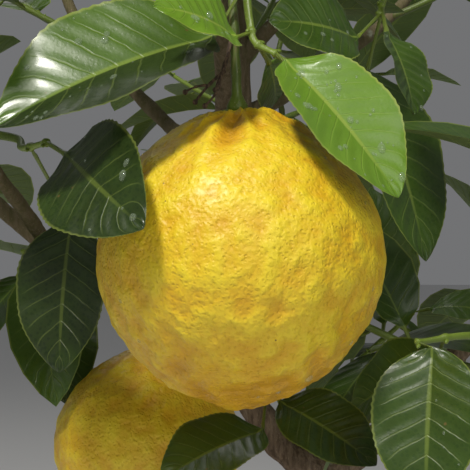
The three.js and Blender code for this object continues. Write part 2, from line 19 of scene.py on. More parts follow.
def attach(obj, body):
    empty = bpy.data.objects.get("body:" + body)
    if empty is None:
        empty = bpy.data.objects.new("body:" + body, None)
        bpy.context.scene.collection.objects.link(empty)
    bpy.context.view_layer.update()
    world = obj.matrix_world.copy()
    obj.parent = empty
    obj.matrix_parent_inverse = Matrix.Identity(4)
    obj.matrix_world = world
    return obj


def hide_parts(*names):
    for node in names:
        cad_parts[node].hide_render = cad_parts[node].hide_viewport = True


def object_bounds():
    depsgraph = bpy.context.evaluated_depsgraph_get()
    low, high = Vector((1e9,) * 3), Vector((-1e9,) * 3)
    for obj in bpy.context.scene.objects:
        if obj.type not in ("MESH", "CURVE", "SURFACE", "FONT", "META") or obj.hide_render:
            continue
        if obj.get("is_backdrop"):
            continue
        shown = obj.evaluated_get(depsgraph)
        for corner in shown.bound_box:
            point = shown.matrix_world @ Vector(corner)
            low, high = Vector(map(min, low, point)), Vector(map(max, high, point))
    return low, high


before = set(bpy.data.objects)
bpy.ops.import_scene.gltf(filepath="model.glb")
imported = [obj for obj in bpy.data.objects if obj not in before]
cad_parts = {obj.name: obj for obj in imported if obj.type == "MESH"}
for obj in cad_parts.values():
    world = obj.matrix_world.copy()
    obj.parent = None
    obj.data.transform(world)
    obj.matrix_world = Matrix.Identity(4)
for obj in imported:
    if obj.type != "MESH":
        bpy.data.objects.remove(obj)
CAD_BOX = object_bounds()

MM = 0.001
TAU = 2 * math.pi
SIDE_VEINS = 9.0
VEIN_SWEEP = 1.7
Colour = tuple[float, float, float]
log = logging.getLogger("lemon_tree")


def mm(x: float, y: float, z: float) -> Vector:
    """A point given in millimetres, in metres."""
    return Vector((x * MM, y * MM, z * MM))


def bump(distance: float, spread: float) -> float:
    """A bell of height 1 at no distance."""
    return math.exp(-((distance / spread) ** 2))


def smooth(low: float, high: float, value: float) -> float:
    """An eased step from 0 at low to 1 at high."""
    share = min(1.0, max(0.0, (value - low) / (high - low)))
    return share * share * (3 - 2 * share)


def wavering(place: Vector, size: float) -> float:
    """Smooth noise from -1 to 1 whose lumps are size metres across."""
    return noise.noise(place / size)


# ---------------------------------------------------------------- shader maths
class Socket:
    """A shader socket that takes part in sums: each operator adds its Math node."""

    def __init__(self, shade: "Shade", socket: bpy.types.NodeSocket) -> None:
        """Wraps one output socket of a material's nodes."""
        self.shade = shade
        self.socket = socket

    def math(self, operation: str, *others: "Socket | float") -> "Socket":
        """Adds a Math node that starts from this socket.

        Args:
            operation: The Math node's operation.
            others: Its other values, sockets or numbers.

        Returns:
            The result.
        """
        values = dict(enumerate((self, *others)))
        return self.shade.node("ShaderNodeMath", {"operation": operation}, values)

    def reflected(self, operation: str, first: float) -> "Socket":
        """Adds a Math node that has a number first and this socket second."""
        return self.shade.node("ShaderNodeMath", {"operation": operation}, {0: first, 1: self})

    def __add__(self, other: "Socket | float") -> "Socket":
        """This plus other."""
        return self.math("ADD", other)

    __radd__ = __add__

    def __sub__(self, other: "Socket | float") -> "Socket":
        """This minus other."""
        return self.math("SUBTRACT", other)

    def __rsub__(self, other: float) -> "Socket":
        """Other minus this."""
        return self.reflected("SUBTRACT", other)

    def __mul__(self, other: "Socket | float") -> "Socket":
        """This times other."""
        return self.math("MULTIPLY", other)

    __rmul__ = __mul__

    def __abs__(self) -> "Socket":
        """How far this is from 0."""
        return self.math("ABSOLUTE")

    def fraction(self) -> "Socket":
        """What is left over a whole number."""
        return self.math("FRACT")

    def wave(self) -> "Socket":
        """The sine of this, in radians."""
        return self.math("SINE")

    def step(self, low: float, high: float) -> "Socket":
        """An eased step from 0 at low to 1 at high; low may be the larger.

        Args:
            low: Where the step starts.
            high: Where it ends.

        Returns:
            The step's height.
        """
        settings = {"interpolation_type": "SMOOTHSTEP"}
        if low <= high:
            return self.shade.node("ShaderNodeMapRange", settings, {0: self, 1: low, 2: high})
        values = {0: self, 1: high, 2: low, 3: 1.0, 4: 0.0}
        return self.shade.node("ShaderNodeMapRange", settings, values)


def filled(value: Socket | Colour) -> Socket | tuple[float, ...]:
    """A socket as it is, or a colour made fully opaque."""
    return value if isinstance(value, Socket) else (*value, 1.0)


class Shade:
    """A material being made: its nodes, its surface shader and the patterns it reads."""

    def __init__(self, name: str, **fixed: object) -> None:
        """Starts a material whose shader has these sockets fixed.

        Args:
            name: The material's name.
            fixed: Values of the surface shader's own sockets, with _ for a space.
        """
        self.material = bpy.data.materials.new(name)
        self.material.use_nodes = True
        self.tree = self.material.node_tree
        self.surface = next(n for n in self.tree.nodes if n.type == "BSDF_PRINCIPLED")
        for socket, value in fixed.items():
            self.surface.inputs[socket.replace("_", " ")].default_value = value

    def node(
        self,
        kind: str,
        settings: dict[str, object] | None = None,
        values: dict[int | str, object] | None = None,
        output: int | str = 0,
    ) -> Socket:
        """Adds a node.

        Args:
            kind: The node's type.
            settings: Its settings, set first; "stops" sets a ramp's stops.
            values: Numbers, colours or sockets for its inputs.
            output: Which of its outputs is wanted.

        Returns:
            That output.
        """
        made = self.tree.nodes.new(kind)
        for key, value in (settings or {}).items():
            if key == "stops":
                ramp = made.color_ramp
                while len(ramp.elements) < len(value):
                    ramp.elements.new(0.5)
                for element, (place, colour) in zip(ramp.elements, value):
                    element.position = place
                    element.color = (*colour, 1.0)
            else:
                setattr(made, key, value)
        for key, value in (values or {}).items():
            if isinstance(value, Socket):
                self.tree.links.new(value.socket, made.inputs[key])
            else:
                made.inputs[key].default_value = value
        return Socket(self, made.outputs[output])

    def place(self) -> Socket:
        """The point's place on the object, in metres."""
        return self.node("ShaderNodeTexCoord", output="Object")

    def part(self, vector: Socket, axis: int) -> Socket:
        """One part of a vector."""
        return self.node("ShaderNodeSeparateXYZ", None, {0: vector}, axis)

    def across(self) -> tuple[Socket, Socket]:
        """The two parts of the piece's own UV map."""
        where = self.node("ShaderNodeUVMap", {"uv_map": "UVMap"})
        return self.part(where, 0), self.part(where, 1)

    def measure(self, name: str) -> Socket:
        """A number that the piece's mesh keeps for each vertex."""
        return self.node("ShaderNodeAttribute", {"attribute_name": name}, output="Fac")

    def stretched(self, vector: Socket, scale: Colour) -> Socket:
        """A place with its three parts scaled."""
        return self.node("ShaderNodeMapping", None, {"Vector": vector, "Scale": scale})

    def cloud(
        self, vector: Socket, scale: float, detail: float = 3.0, rough: float = 0.5
    ) -> Socket:
        """Soft noise from 0 to 1."""
        values = {"Vector": vector, "Scale": scale, "Detail": detail, "Roughness": rough}
        return self.node("ShaderNodeTexNoise", None, values)

    def cells(self, vector: Socket, scale: float) -> Socket:
        """The distance to the nearest of scattered points."""
        values = {"Vector": vector, "Scale": scale}
        return self.node("ShaderNodeTexVoronoi", {"feature": "F1"}, values, "Distance")

    def bent(self, vector: Socket, scale: float, reach: float) -> Socket:
        """A place moved about by soft noise, by up to reach metres.

        Args:
            vector: The place.
            scale: How fine the noise is.
            reach: How far it moves the place, in metres.

        Returns:
            The moved place.
        """
        drift = self.node("ShaderNodeTexNoise", None, {"Vector": vector, "Scale": scale}, "Color")
        settings = {"operation": "SCALE"}
        drift = self.node("ShaderNodeVectorMath", settings, {0: drift, "Scale": reach})
        return self.node("ShaderNodeVectorMath", {"operation": "ADD"}, {0: vector, 1: drift})

    def ramp(self, value: Socket, stops: Sequence[tuple[float, Colour]]) -> Socket:
        """A colour picked along a row of stops."""
        return self.node("ShaderNodeValToRGB", {"stops": stops}, {0: value})

    def mix(
        self, share: Socket | float, first: Socket | Colour, second: Socket | Colour
    ) -> Socket:
        """The first colour with a share of the second mixed in.

        Args:
            share: How much of the second.
            first: The first colour.
            second: The second colour.

        Returns:
            The mixed colour.
        """
        settings = {"data_type": "RGBA", "clamp_factor": True}
        values = {0: share, 6: filled(first), 7: filled(second)}
        return self.node("ShaderNodeMix", settings, values, 2)

    def paint(self, socket: str, value: Socket) -> None:
        """Feeds one of the surface shader's sockets."""
        self.tree.links.new(value.socket, self.surface.inputs[socket])

    def relief(self, height: Socket, depth: float) -> None:
        """Roughens the surface: a height of 1 stands depth metres proud."""
        values = {"Height": height, "Distance": depth, "Strength": 1.0}
        self.paint("Normal", self.node("ShaderNodeBump", None, values))


# ---------------------------------------------------------------- finishes
@dataclass(frozen=True)
class ClayFinish:
    """Fired earthenware: turning lines, fine grain and lime bloom."""

    body: Colour = (0.46, 0.165, 0.075)
    pale: Colour = (0.60, 0.27, 0.14)
    dark: Colour = (0.27, 0.095, 0.045)
    lime: Colour = (0.66, 0.56, 0.47)

    def make(self) -> bpy.types.Material:
        """Makes the clay's material.

        Returns:
            The material.
        """
        shade = Shade("clay", Specular_IOR_Level=0.3)
        at = shade.place()
        patches = shade.cloud(at, 14, 4, 0.6)
        grain = shade.cloud(at, 900, 3, 0.6)
        lines = shade.cloud(shade.stretched(at, (3, 3, 260)), 1, 2, 0.5)
        colour = shade.mix(patches.step(0.35, 0.7), self.body, self.pale)
        colour = shade.mix(shade.cloud(at, 5, 2).step(0.5, 0.72) * 0.6, colour, self.dark)
        streaks = shade.cloud(shade.stretched(at, (60, 60, 9)), 1, 5, 0.65)
        bloom = streaks.step(0.5, 0.72) * shade.cloud(at, 9, 3).step(0.42, 0.68)
        rings = shade.cloud(shade.stretched(at, (8, 8, 90)), 1, 3).step(0.55, 0.75) * 0.16
        colour = shade.mix(bloom * 0.75 + rings, colour, self.lime)
        colour = shade.mix(grain.step(0.62, 0.74) * 0.3, colour, self.dark)
        shade.paint("Base Color", colour)
        shade.paint("Roughness", 0.94 - patches * 0.22)
        shade.relief(grain * 0.5 + lines * 1.2 + patches * 0.6, 0.0005)
        return shade.material


@dataclass(frozen=True)
class SoilFinish:
    """Moist potting mix. Its tone runs from humus through bark to pale grit."""

    humus: Colour = (0.022, 0.013, 0.008)
    bark: Colour = (0.095, 0.048, 0.022)
    grit: Colour = (0.62, 0.58, 0.50)

    def make(self) -> bpy.types.Material:
        """Makes the soil's material.

        Returns:
            The material.
        """
        shade = Shade("soil", Specular_IOR_Level=0.25)
        at = shade.place()
        tone = shade.measure("tone")
        grain = shade.cloud(at, 420, 5, 0.7)
        stops = [(0.0, self.humus), (0.6, self.bark), (0.9, self.bark), (0.97, self.grit)]
        colour = shade.ramp(tone, stops)
        colour = shade.mix(grain.step(0.45, 0.7) * 0.5, colour, self.bark)
        colour = shade.mix(shade.cells(at, 260).step(0.5, 0.2) * 0.4, colour, self.humus)
        shade.paint("Base Color", colour)
        shade.paint("Roughness", 0.98 - shade.cloud(at, 30, 3).step(0.4, 0.7) * 0.28)
        shade.relief(grain, 0.0012)
        return shade.material


@dataclass(frozen=True)
class BarkFinish:
    """Bark: grey-brown and fissured where the wood is thick, greener where it is thin."""

    ridge: Colour = (0.235, 0.175, 0.120)
    fissure: Colour = (0.100, 0.070, 0.046)
    young: Colour = (0.115, 0.105, 0.045)
    fleck: Colour = (0.36, 0.29, 0.20)
    lichen: Colour = (0.33, 0.35, 0.27)

    def make(self) -> bpy.types.Material:
        """Makes the bark's material.

        Returns:
            The material.
        """
        shade = Shade("bark", Specular_IOR_Level=0.25)
        at = shade.place()
        age = shade.measure("tone")
        strips = shade.cloud(shade.stretched(at, (420, 420, 60)), 1, 5, 0.62)
        flecks = shade.cells(shade.stretched(at, (900, 900, 260)), 1)
        colour = shade.mix(strips.step(0.34, 0.66), self.fissure, self.ridge)
        green = shade.mix(strips.step(0.3, 0.7) * 0.5, self.young, self.ridge)
        colour = shade.mix(age.step(0.1, 0.55), green, colour)
        colour = shade.mix(flecks.step(0.22, 0.1) * 0.5, colour, self.fleck)
        spots = shade.cloud(at, 70, 4, 0.6).step(0.62, 0.72)
        spots = spots * shade.cloud(at, 300, 2).step(0.4, 0.6)
        colour = shade.mix(spots * 0.7, colour, self.lichen)
        shade.paint("Base Color", colour)
        shade.paint("Roughness", 0.95 - strips * 0.2)
        shade.relief(strips + shade.cloud(at, 1400, 3) * 0.3, 0.0011)
        return shade.material


@dataclass(frozen=True)
class GreenWoodFinish:
    """Young wood. Its tone runs from fresh green at 0 to brown and corky at 1."""

    fresh: Colour = (0.17, 0.25, 0.025)
    green: Colour = (0.085, 0.13, 0.018)
    cork: Colour = (0.17, 0.11, 0.05)
    speck: Colour = (0.42, 0.40, 0.20)

    def make(self) -> bpy.types.Material:
        """Makes the green wood's material.

        Returns:
            The material.
        """
        shade = Shade("green_wood", Coat_Weight=0.1, Coat_Roughness=0.3)
        at = shade.place()
        tone = shade.measure("tone")
        streaks = shade.cloud(shade.stretched(at, (900, 900, 160)), 1, 4, 0.6)
        colour = shade.mix(tone * 1.6, self.fresh, self.green)
        corky = (tone + streaks - 0.5).step(0.55, 0.95)
        colour = shade.mix(corky, colour, self.cork)
        specks = shade.cells(shade.stretched(at, (800, 800, 400)), 1).step(0.2, 0.1)
        colour = shade.mix(specks * 0.6, colour, self.speck)
        shade.paint("Base Color", colour)
        shade.paint("Roughness", 0.42 + corky * 0.4)
        shade.relief(streaks + specks * 0.6, 0.0003)
        return shade.material


@dataclass(frozen=True)
class PeelFinish:
    """Ripe lemon peel: oil glands a millimetre or so apart, wax, and a few brown specks.

    Its tone is 0 in the hollows between lumps and 1 on top of them, and lower towards the
    bottom; where it is low the peel is painted deeper orange and darker, as painted shade.
    The gland pits are painted a little darker too, as painted shade.
    """

    ripe: Colour = (0.90, 0.70, 0.026)
    deep: Colour = (0.76, 0.42, 0.010)
    # Painted shade: the colour mixed into the hollows, towards the bottom and into the gland pits.
    shade: Colour = (0.50, 0.24, 0.008)
    speck: Colour = (0.16, 0.07, 0.015)
    gland_scale: float = 560
    gland_drift: float = 0.0026
    depth: float = 0.0009

    def make(self) -> bpy.types.Material:
        """Makes the peel's material.

        Returns:
            The material.
        """
        shade = Shade("peel", Coat_Roughness=0.2, Specular_IOR_Level=0.5)
        at = shade.place()
        tone = shade.measure("tone")
        glands = shade.cells(shade.bent(at, 260.0, self.gland_drift), self.gland_scale)
        pit = glands.step(0.5, 0.08)
        patches = shade.cloud(at, 30, 4, 0.55)
        pebbles = shade.cloud(at, 300, 1, 0.4)
        # The tone's share paints shade: deeper orange in the hollows and towards the bottom.
        ripeness_and_painted_shade = (patches * 0.5 + tone * 0.42 + pebbles * 0.25).step(0.27, 0.78)
        colour = shade.mix(ripeness_and_painted_shade, self.deep, self.ripe)
        # Painted shade: darker in the hollows and towards the bottom, where the tone is low.
        colour = shade.mix(tone.step(0.05, -0.4) * 0.45, colour, self.shade)
        # Painted shade in the oil glands' pits.
        colour = shade.mix(pit * 0.16, colour, self.shade)
        specks = shade.cells(at, 170).step(0.075, 0.05) * shade.cloud(at, 60, 2).step(0.55, 0.62)
        colour = shade.mix(specks * 0.8, colour, self.speck)
        shade.paint("Base Color", colour)
        shade.paint("Roughness", 0.42 + patches * 0.1 + pit * 0.12)
        shade.paint("Coat Weight", 0.07 - pit * 0.05)
        grain = shade.cloud(at, 640, 1, 0.4)
        shade.relief(pebbles * 0.8 + grain * 0.45 - pit * 0.22, self.depth)
        return shade.material


class LeafFace(Enum):
    """The two faces of a leaf."""

    UPPER = "leaf_upper"
    UNDER = "leaf_under"


@dataclass(frozen=True)
class LeafFinish:
    """One face of a citrus leaf. Its tone runs from dark and old at 0 to bright and young at 1.

    The piece's UV map runs across the blade from margin to margin, and along it from base to tip;
    the stalk has the numbers below 0.
    """

    face: LeafFace
    tones: tuple[Colour, ...] = (
        (0.010, 0.023, 0.003),
        (0.034, 0.075, 0.007),
        (0.072, 0.145, 0.014),
        (0.125, 0.250, 0.020),
        (0.165, 0.300, 0.020),
    )
    vein: Colour = (0.33, 0.43, 0.075)
    margin: Colour = (0.32, 0.38, 0.075)
    stalk: Colour = (0.15, 0.21, 0.025)
    bloom: Colour = (0.24, 0.33, 0.10)
    scar: Colour = (0.16, 0.10, 0.03)

    def make(self) -> bpy.types.Material:
        """Makes the material of this face.

        Returns:
            The material.
        """
        upper = self.face is LeafFace.UPPER
        coat = {"Coat_Weight": 0.22, "Coat_Roughness": 0.14} if upper else {"Coat_Weight": 0.0}
        shade = Shade(self.face.value, Specular_IOR_Level=0.45, **coat)
        at = shade.place()
        u, v = shade.across()
        tone = shade.measure("tone")
        off = abs(u - 0.5) * 2
        wander = shade.cloud(at, 90, 2) - 0.5
        run = v * SIDE_VEINS - off * VEIN_SWEEP + wander * 0.35
        between = abs(run.fraction() - 0.5)
        side_veins = between.step(0.43, 0.49) * off.step(1.0, 0.55)
        net = shade.cells(at, 520).step(0.30, 0.46)
        patches = shade.cloud(at, 55, 3, 0.6)
        stops = [(i / (len(self.tones) - 1), colour) for i, colour in enumerate(self.tones)]
        colour = shade.ramp(tone + (patches - 0.5) * 0.28, stops)
        pale = shade.mix(0.45 if upper else 0.62, colour, self.vein)
        if not upper:
            colour = shade.mix(0.28, colour, self.bloom)
        colour = shade.mix(side_veins * (0.34 if upper else 0.6), colour, pale)
        colour = shade.mix(net * 0.06, colour, pale)
        rib = off.step(0.06, 0.02) * v.step(1.02, 0.55)
        ribbed = shade.mix(tone * 0.6 + 0.1, pale, self.vein)
        colour = shade.mix(rib * (tone * 0.5 + 0.42), colour, ribbed)
        edged = shade.mix(tone * 0.6 + 0.4, colour, self.margin)
        colour = shade.mix(off.step(0.94, 0.98) * 0.75, colour, edged)
        blemish = shade.cells(at, 120).step(0.10, 0.05) * shade.cloud(at, 40, 2).step(0.58, 0.64)
        colour = shade.mix(blemish * 0.7, colour, self.scar)
        colour = shade.mix(v.step(0.0, -0.01), colour, self.stalk)
        shade.paint("Base Color", colour)
        gloss = 0.30 if upper else 0.55
        shade.paint("Roughness", gloss + patches * 0.14 + side_veins * 0.08)
        veined = side_veins * (-0.4 if upper else 0.9)
        quilt = (run * TAU).wave() * off.step(0.02, 0.3) * 0.3
        grain = shade.cloud(at, 700, 2) * 0.15
        shade.relief(veined + quilt + net * 0.05 + grain, 0.00035)
        return shade.material


@dataclass(frozen=True)
class WaterFinish:
    """Clear drops of water."""

    tint: Colour = (0.45, 0.55, 0.40)
    alpha: float = 0.22

    def make(self) -> bpy.types.Material:
        """Makes the water's material.

        Returns:
            The material.
        """
        shade = Shade(
            "water", Base_Color=filled(self.tint), Roughness=0.03, Alpha=self.alpha,
            Specular_IOR_Level=1.0, Coat_Weight=1.0, Coat_Roughness=0.02,
        )
        return shade.material


@dataclass(frozen=True)
class DeadWoodFinish:
    """A dry flower stalk, nearly black."""

    dry: Colour = (0.045, 0.028, 0.018)
    worn: Colour = (0.15, 0.10, 0.06)

    def make(self) -> bpy.types.Material:
        """Makes the dry stalk's material.

        Returns:
            The material.
        """
        shade = Shade("dead_wood", Roughness=0.9)
        at = shade.place()
        grain = shade.cloud(shade.stretched(at, (900, 900, 250)), 1, 4, 0.6)
        shade.paint("Base Color", shade.mix(grain.step(0.4, 0.65), self.dry, self.worn))
        shade.relief(grain, 0.0004)
        return shade.material


@dataclass(frozen=True)
class FloorFinish:
    """A plain pale floor."""

    tint: Colour = (0.67, 0.67, 0.66)
    dull: Colour = (0.58, 0.58, 0.57)

    def make(self) -> bpy.types.Material:
        """Makes the floor's material.

        Returns:
            The material.
        """
        shade = Shade("floor", Roughness=0.7)
        colour = shade.mix(shade.cloud(shade.place(), 1.5, 2) * 0.08, self.tint, self.dull)
        shade.paint("Base Color", colour)
        return shade.material


@dataclass(frozen=True)
class Finishes:
    """Every material of the tree, made once."""

    clay: bpy.types.Material
    soil: bpy.types.Material
    bark: bpy.types.Material
    green_wood: bpy.types.Material
    peel: bpy.types.Material
    leaf_upper: bpy.types.Material
    leaf_under: bpy.types.Material
    water: bpy.types.Material
    dead_wood: bpy.types.Material

    @classmethod
    def make(cls) -> "Finishes":
        """Makes them all.

        Returns:
            The materials.
        """
        return cls(
            clay=ClayFinish().make(),
            soil=SoilFinish().make(),
            bark=BarkFinish().make(),
            green_wood=GreenWoodFinish().make(),
            peel=PeelFinish().make(),
            leaf_upper=LeafFinish(LeafFace.UPPER).make(),
            leaf_under=LeafFinish(LeafFace.UNDER).make(),
            water=WaterFinish().make(),
            dead_wood=DeadWoodFinish().make(),
        )

    def foliage(self) -> list[bpy.types.Material]:
        """The materials of a piece with leaves, in the order of FoliageSlot."""
        return [self.leaf_upper, self.leaf_under, self.green_wood]


class FoliageSlot(Enum):
    """Which of a leafy piece's materials a face has."""

    UPPER = 0
    UNDER = 1
    WOOD = 2


# ---------------------------------------------------------------- meshes
Place = Callable[[float, float], Vector]
Measure = Callable[[float, float], float]


@dataclass
class Piece:
    """A mesh being built, with a UV map and a tone for each vertex."""

    name: str
    bm: bmesh.types.BMesh = field(default_factory=bmesh.new)

    SAME_POINT = 2e-7
    ROUND_END = 0.6

    def __post_init__(self) -> None:
        """Gives the mesh its UV map and its tone."""
        self.uv = self.bm.loops.layers.uv.new("UVMap")
        self.tone = self.bm.verts.layers.float.new("tone")

    def sheet(
        self,
        columns: int,
        rows: int,
        place: Place,
        tone: Measure | float = 0.5,
        slot: Callable[[float], int] | int = 0,
        uv: Callable[[float, float], tuple[float, float]] | None = None,
        cut: bool = False,
    ) -> None:
        """Adds a grid wrapped into a closed skin.

        Args:
            columns: Cells round the skin.
            rows: Cells along it.
            place: Where the point at (share round, share along) goes.
            tone: The tone there, or one tone for all.
            slot: The material of a column, by its share round, or one for all.
            uv: The UV map's place there; the two shares themselves if left out.
            cut: Whether its cells are cut along their shorter diagonals, so that the two faces of
                a thin sheet are cut alike.
        """
        grid = bmesh.ops.create_grid(self.bm, x_segments=columns, y_segments=rows, size=0.5)
        verts = grid["verts"]
        shares = {v: (v.co.x + 0.5, v.co.y + 0.5) for v in verts}
        faces = {face for v in verts for face in v.link_faces}
        for face in faces:
            middle = sum(shares[v][0] for v in face.verts) / len(face.verts)
            face.material_index = slot(middle) if callable(slot) else slot
            for loop in face.loops:
                around, along = shares[loop.vert]
                loop[self.uv].uv = uv(around, along) if uv else (around, along)
        for v, (around, along) in shares.items():
            v.co = place(around, along)
            v[self.tone] = tone(around, along) if callable(tone) else tone
        bmesh.ops.remove_doubles(self.bm, verts=verts, dist=self.SAME_POINT)
        faces = [face for face in faces if face.is_valid]
        for edge in {edge for face in faces for edge in face.edges}:
            if len({face.material_index for face in edge.link_faces}) > 1:
                edge.smooth = False
        if cut:
            bmesh.ops.triangulate(self.bm, faces=faces, quad_method="SHORT_EDGE")

    def tube(
        self,
        line: Sequence[Vector],
        radii: Sequence[float],
        sides: int,
        tone: Measure | float = 0.5,
        slot: int = 0,
        relief: Measure | None = None,
    ) -> None:
        """Adds a round tube along a line, with rounded closed ends.

        Args:
            line: The middle of each ring.
            radii: The radius of each ring.
            sides: Sides of the tube.
            tone: The tone at (share round, share along), or one for all.
            slot: The tube's material.
            relief: A factor on the radius at (share round, share along).
        """
        first, last = line[0] - line[1], line[-1] - line[-2]
        start = line[0] + first.normalized() * radii[0] * self.ROUND_END
        end = line[-1] + last.normalized() * radii[-1] * self.ROUND_END
        middles = [start, *line, end]
        sizes = [0.0, *radii, 0.0]
        rings = len(middles) - 1
        frames = []
        side = None
        for k, middle in enumerate(middles):
            before, after = middles[max(0, k - 1)], middles[min(rings, k + 1)]
            along = (after - before).normalized()
            hint = side or Vector((1, 0, 0) if abs(along.x) < 0.8 else (0, 1, 0))
            side = (hint - along * hint.dot(along)).normalized()
            frames.append((middle, side, along.cross(side), sizes[k]))

        def place(around: float, share: float) -> Vector:
            """The place on the tube's skin.

            Args:
                around: The share round the tube.
                share: The share along it.

            Returns:
                The place.
            """
            middle, across, front, radius = frames[round(share * rings)]
            angle = TAU * around
            radius *= relief(around % 1.0, share) if relief else 1.0
            return middle + (across * math.cos(angle) + front * math.sin(angle)) * radius

        self.sheet(sides, rings, place, tone, slot)

    def ball(
        self,
        centre: Vector,
        size: Vector,
        turn: Quaternion,
        detail: int,
        tone: float,
        slot: int = 0,
    ) -> None:
        """Adds a small ball, stretched, turned and put in place.

        Args:
            centre: Its middle.
            size: Its three radii, before it is turned.
            turn: Its turn.
            detail: How finely it is made.
            tone: Its tone.
            slot: Its material.
        """
        matrix = Matrix.LocRotScale(centre, turn, size)
        made = bmesh.ops.create_icosphere(self.bm, subdivisions=detail, radius=1.0, matrix=matrix)
        for v in made["verts"]:
            v[self.tone] = tone
            for face in v.link_faces:
                face.material_index = slot

    def finish(
        self,
        materials: Sequence[bpy.types.Material],
        slot: str,
        replaces: Sequence[str] = (),
        outward: bool = True,
    ) -> bpy.types.Object:
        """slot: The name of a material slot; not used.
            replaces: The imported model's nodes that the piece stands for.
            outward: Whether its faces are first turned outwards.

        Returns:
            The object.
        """
        if outward:
            bmesh.ops.recalc_face_normals(self.bm, faces=self.bm.faces)
        mesh = bpy.data.meshes.new(self.name)
        self.bm.to_mesh(mesh)
        self.bm.free()
        mesh.polygons.foreach_set("use_smooth", [True] * len(mesh.polygons))
        made = bpy.data.objects.new(self.name, mesh)
        bpy.context.scene.collection.objects.link(made)
        for material in materials:
            mesh.materials.append(material)
        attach(made, "root")
        if replaces:
            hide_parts(*replaces)
        log.info("%s: %d faces", self.name, len(mesh.polygons))
        return made


# ---------------------------------------------------------------- lines
def tangent(point: Callable[[float], Vector], share: float) -> Vector:
    """The way a line runs at a share of its length.

    Args:
        point: The line.
        share: Where on it.

    Returns:
        A vector of length 1.
    """
    step = 1e-4
    return (point(min(1.0, share + step)) - point(max(0.0, share - step))).normalized()


def evenly(steps: int) -> list[float]:
    """The shares from 0 to 1 at so many even steps."""
    return [k / steps for k in range(steps + 1)]


def bezier(points: Sequence[Vector], share: float) -> Vector:
    """A point of a cubic Bezier.

    Args:
        points: Its four points.
        share: Where on it.

    Returns:
        The point.
    """
    rest = 1 - share
    weights = (rest**3, 3 * rest**2 * share, 3 * rest * share**2, share**3)
    return sum((p * w for p, w in zip(points, weights)), Vector())


def arc(start: Vector, middle: Vector, end: Vector, share: float) -> Vector:
    """A point of a quadratic Bezier."""
    rest = 1 - share
    return start * rest**2 + middle * 2 * share * rest + end * share * share


@dataclass(frozen=True)
class Spline:
    """A smooth line through points, which doesn't overshoot where they crowd."""

    points: tuple[Vector, ...]

    def point(self, share: float) -> Vector:
        """The point at a share of the line.

        Args:
            share: Where on it.

        Returns:
            The point.
        """
        count = len(self.points)
        place = (count - 1) * share
        first = min(int(place), count - 2)
        weight = place - first
        p1, p2 = self.points[first], self.points[first + 1]
        p0 = self.points[first - 1] if first > 0 else p1 * 2 - p2
        p3 = self.points[first + 2] if first + 2 < count else p2 * 2 - p1
        d0, d1, d2 = (math.sqrt((b - a).length) for a, b in ((p0, p1), (p1, p2), (p2, p3)))
        leave = ((p1 - p0) / d0 - (p2 - p0) / (d0 + d1) + (p2 - p1) / d1) * d1
        arrive = ((p2 - p1) / d1 - (p3 - p1) / (d1 + d2) + (p3 - p2) / d2) * d1
        square, cube = weight**2, weight**3
        bend = (p2 - p1) * 3 - leave * 2 - arrive
        close = (p1 - p2) * 2 + leave + arrive
        return p1 + leave * weight + bend * square + close * cube


def corner_numbers(face: bmesh.types.BMFace) -> list[int]:
    """The numbers of a face's corners, from the lowest."""
    return sorted(v.index for v in face.verts)


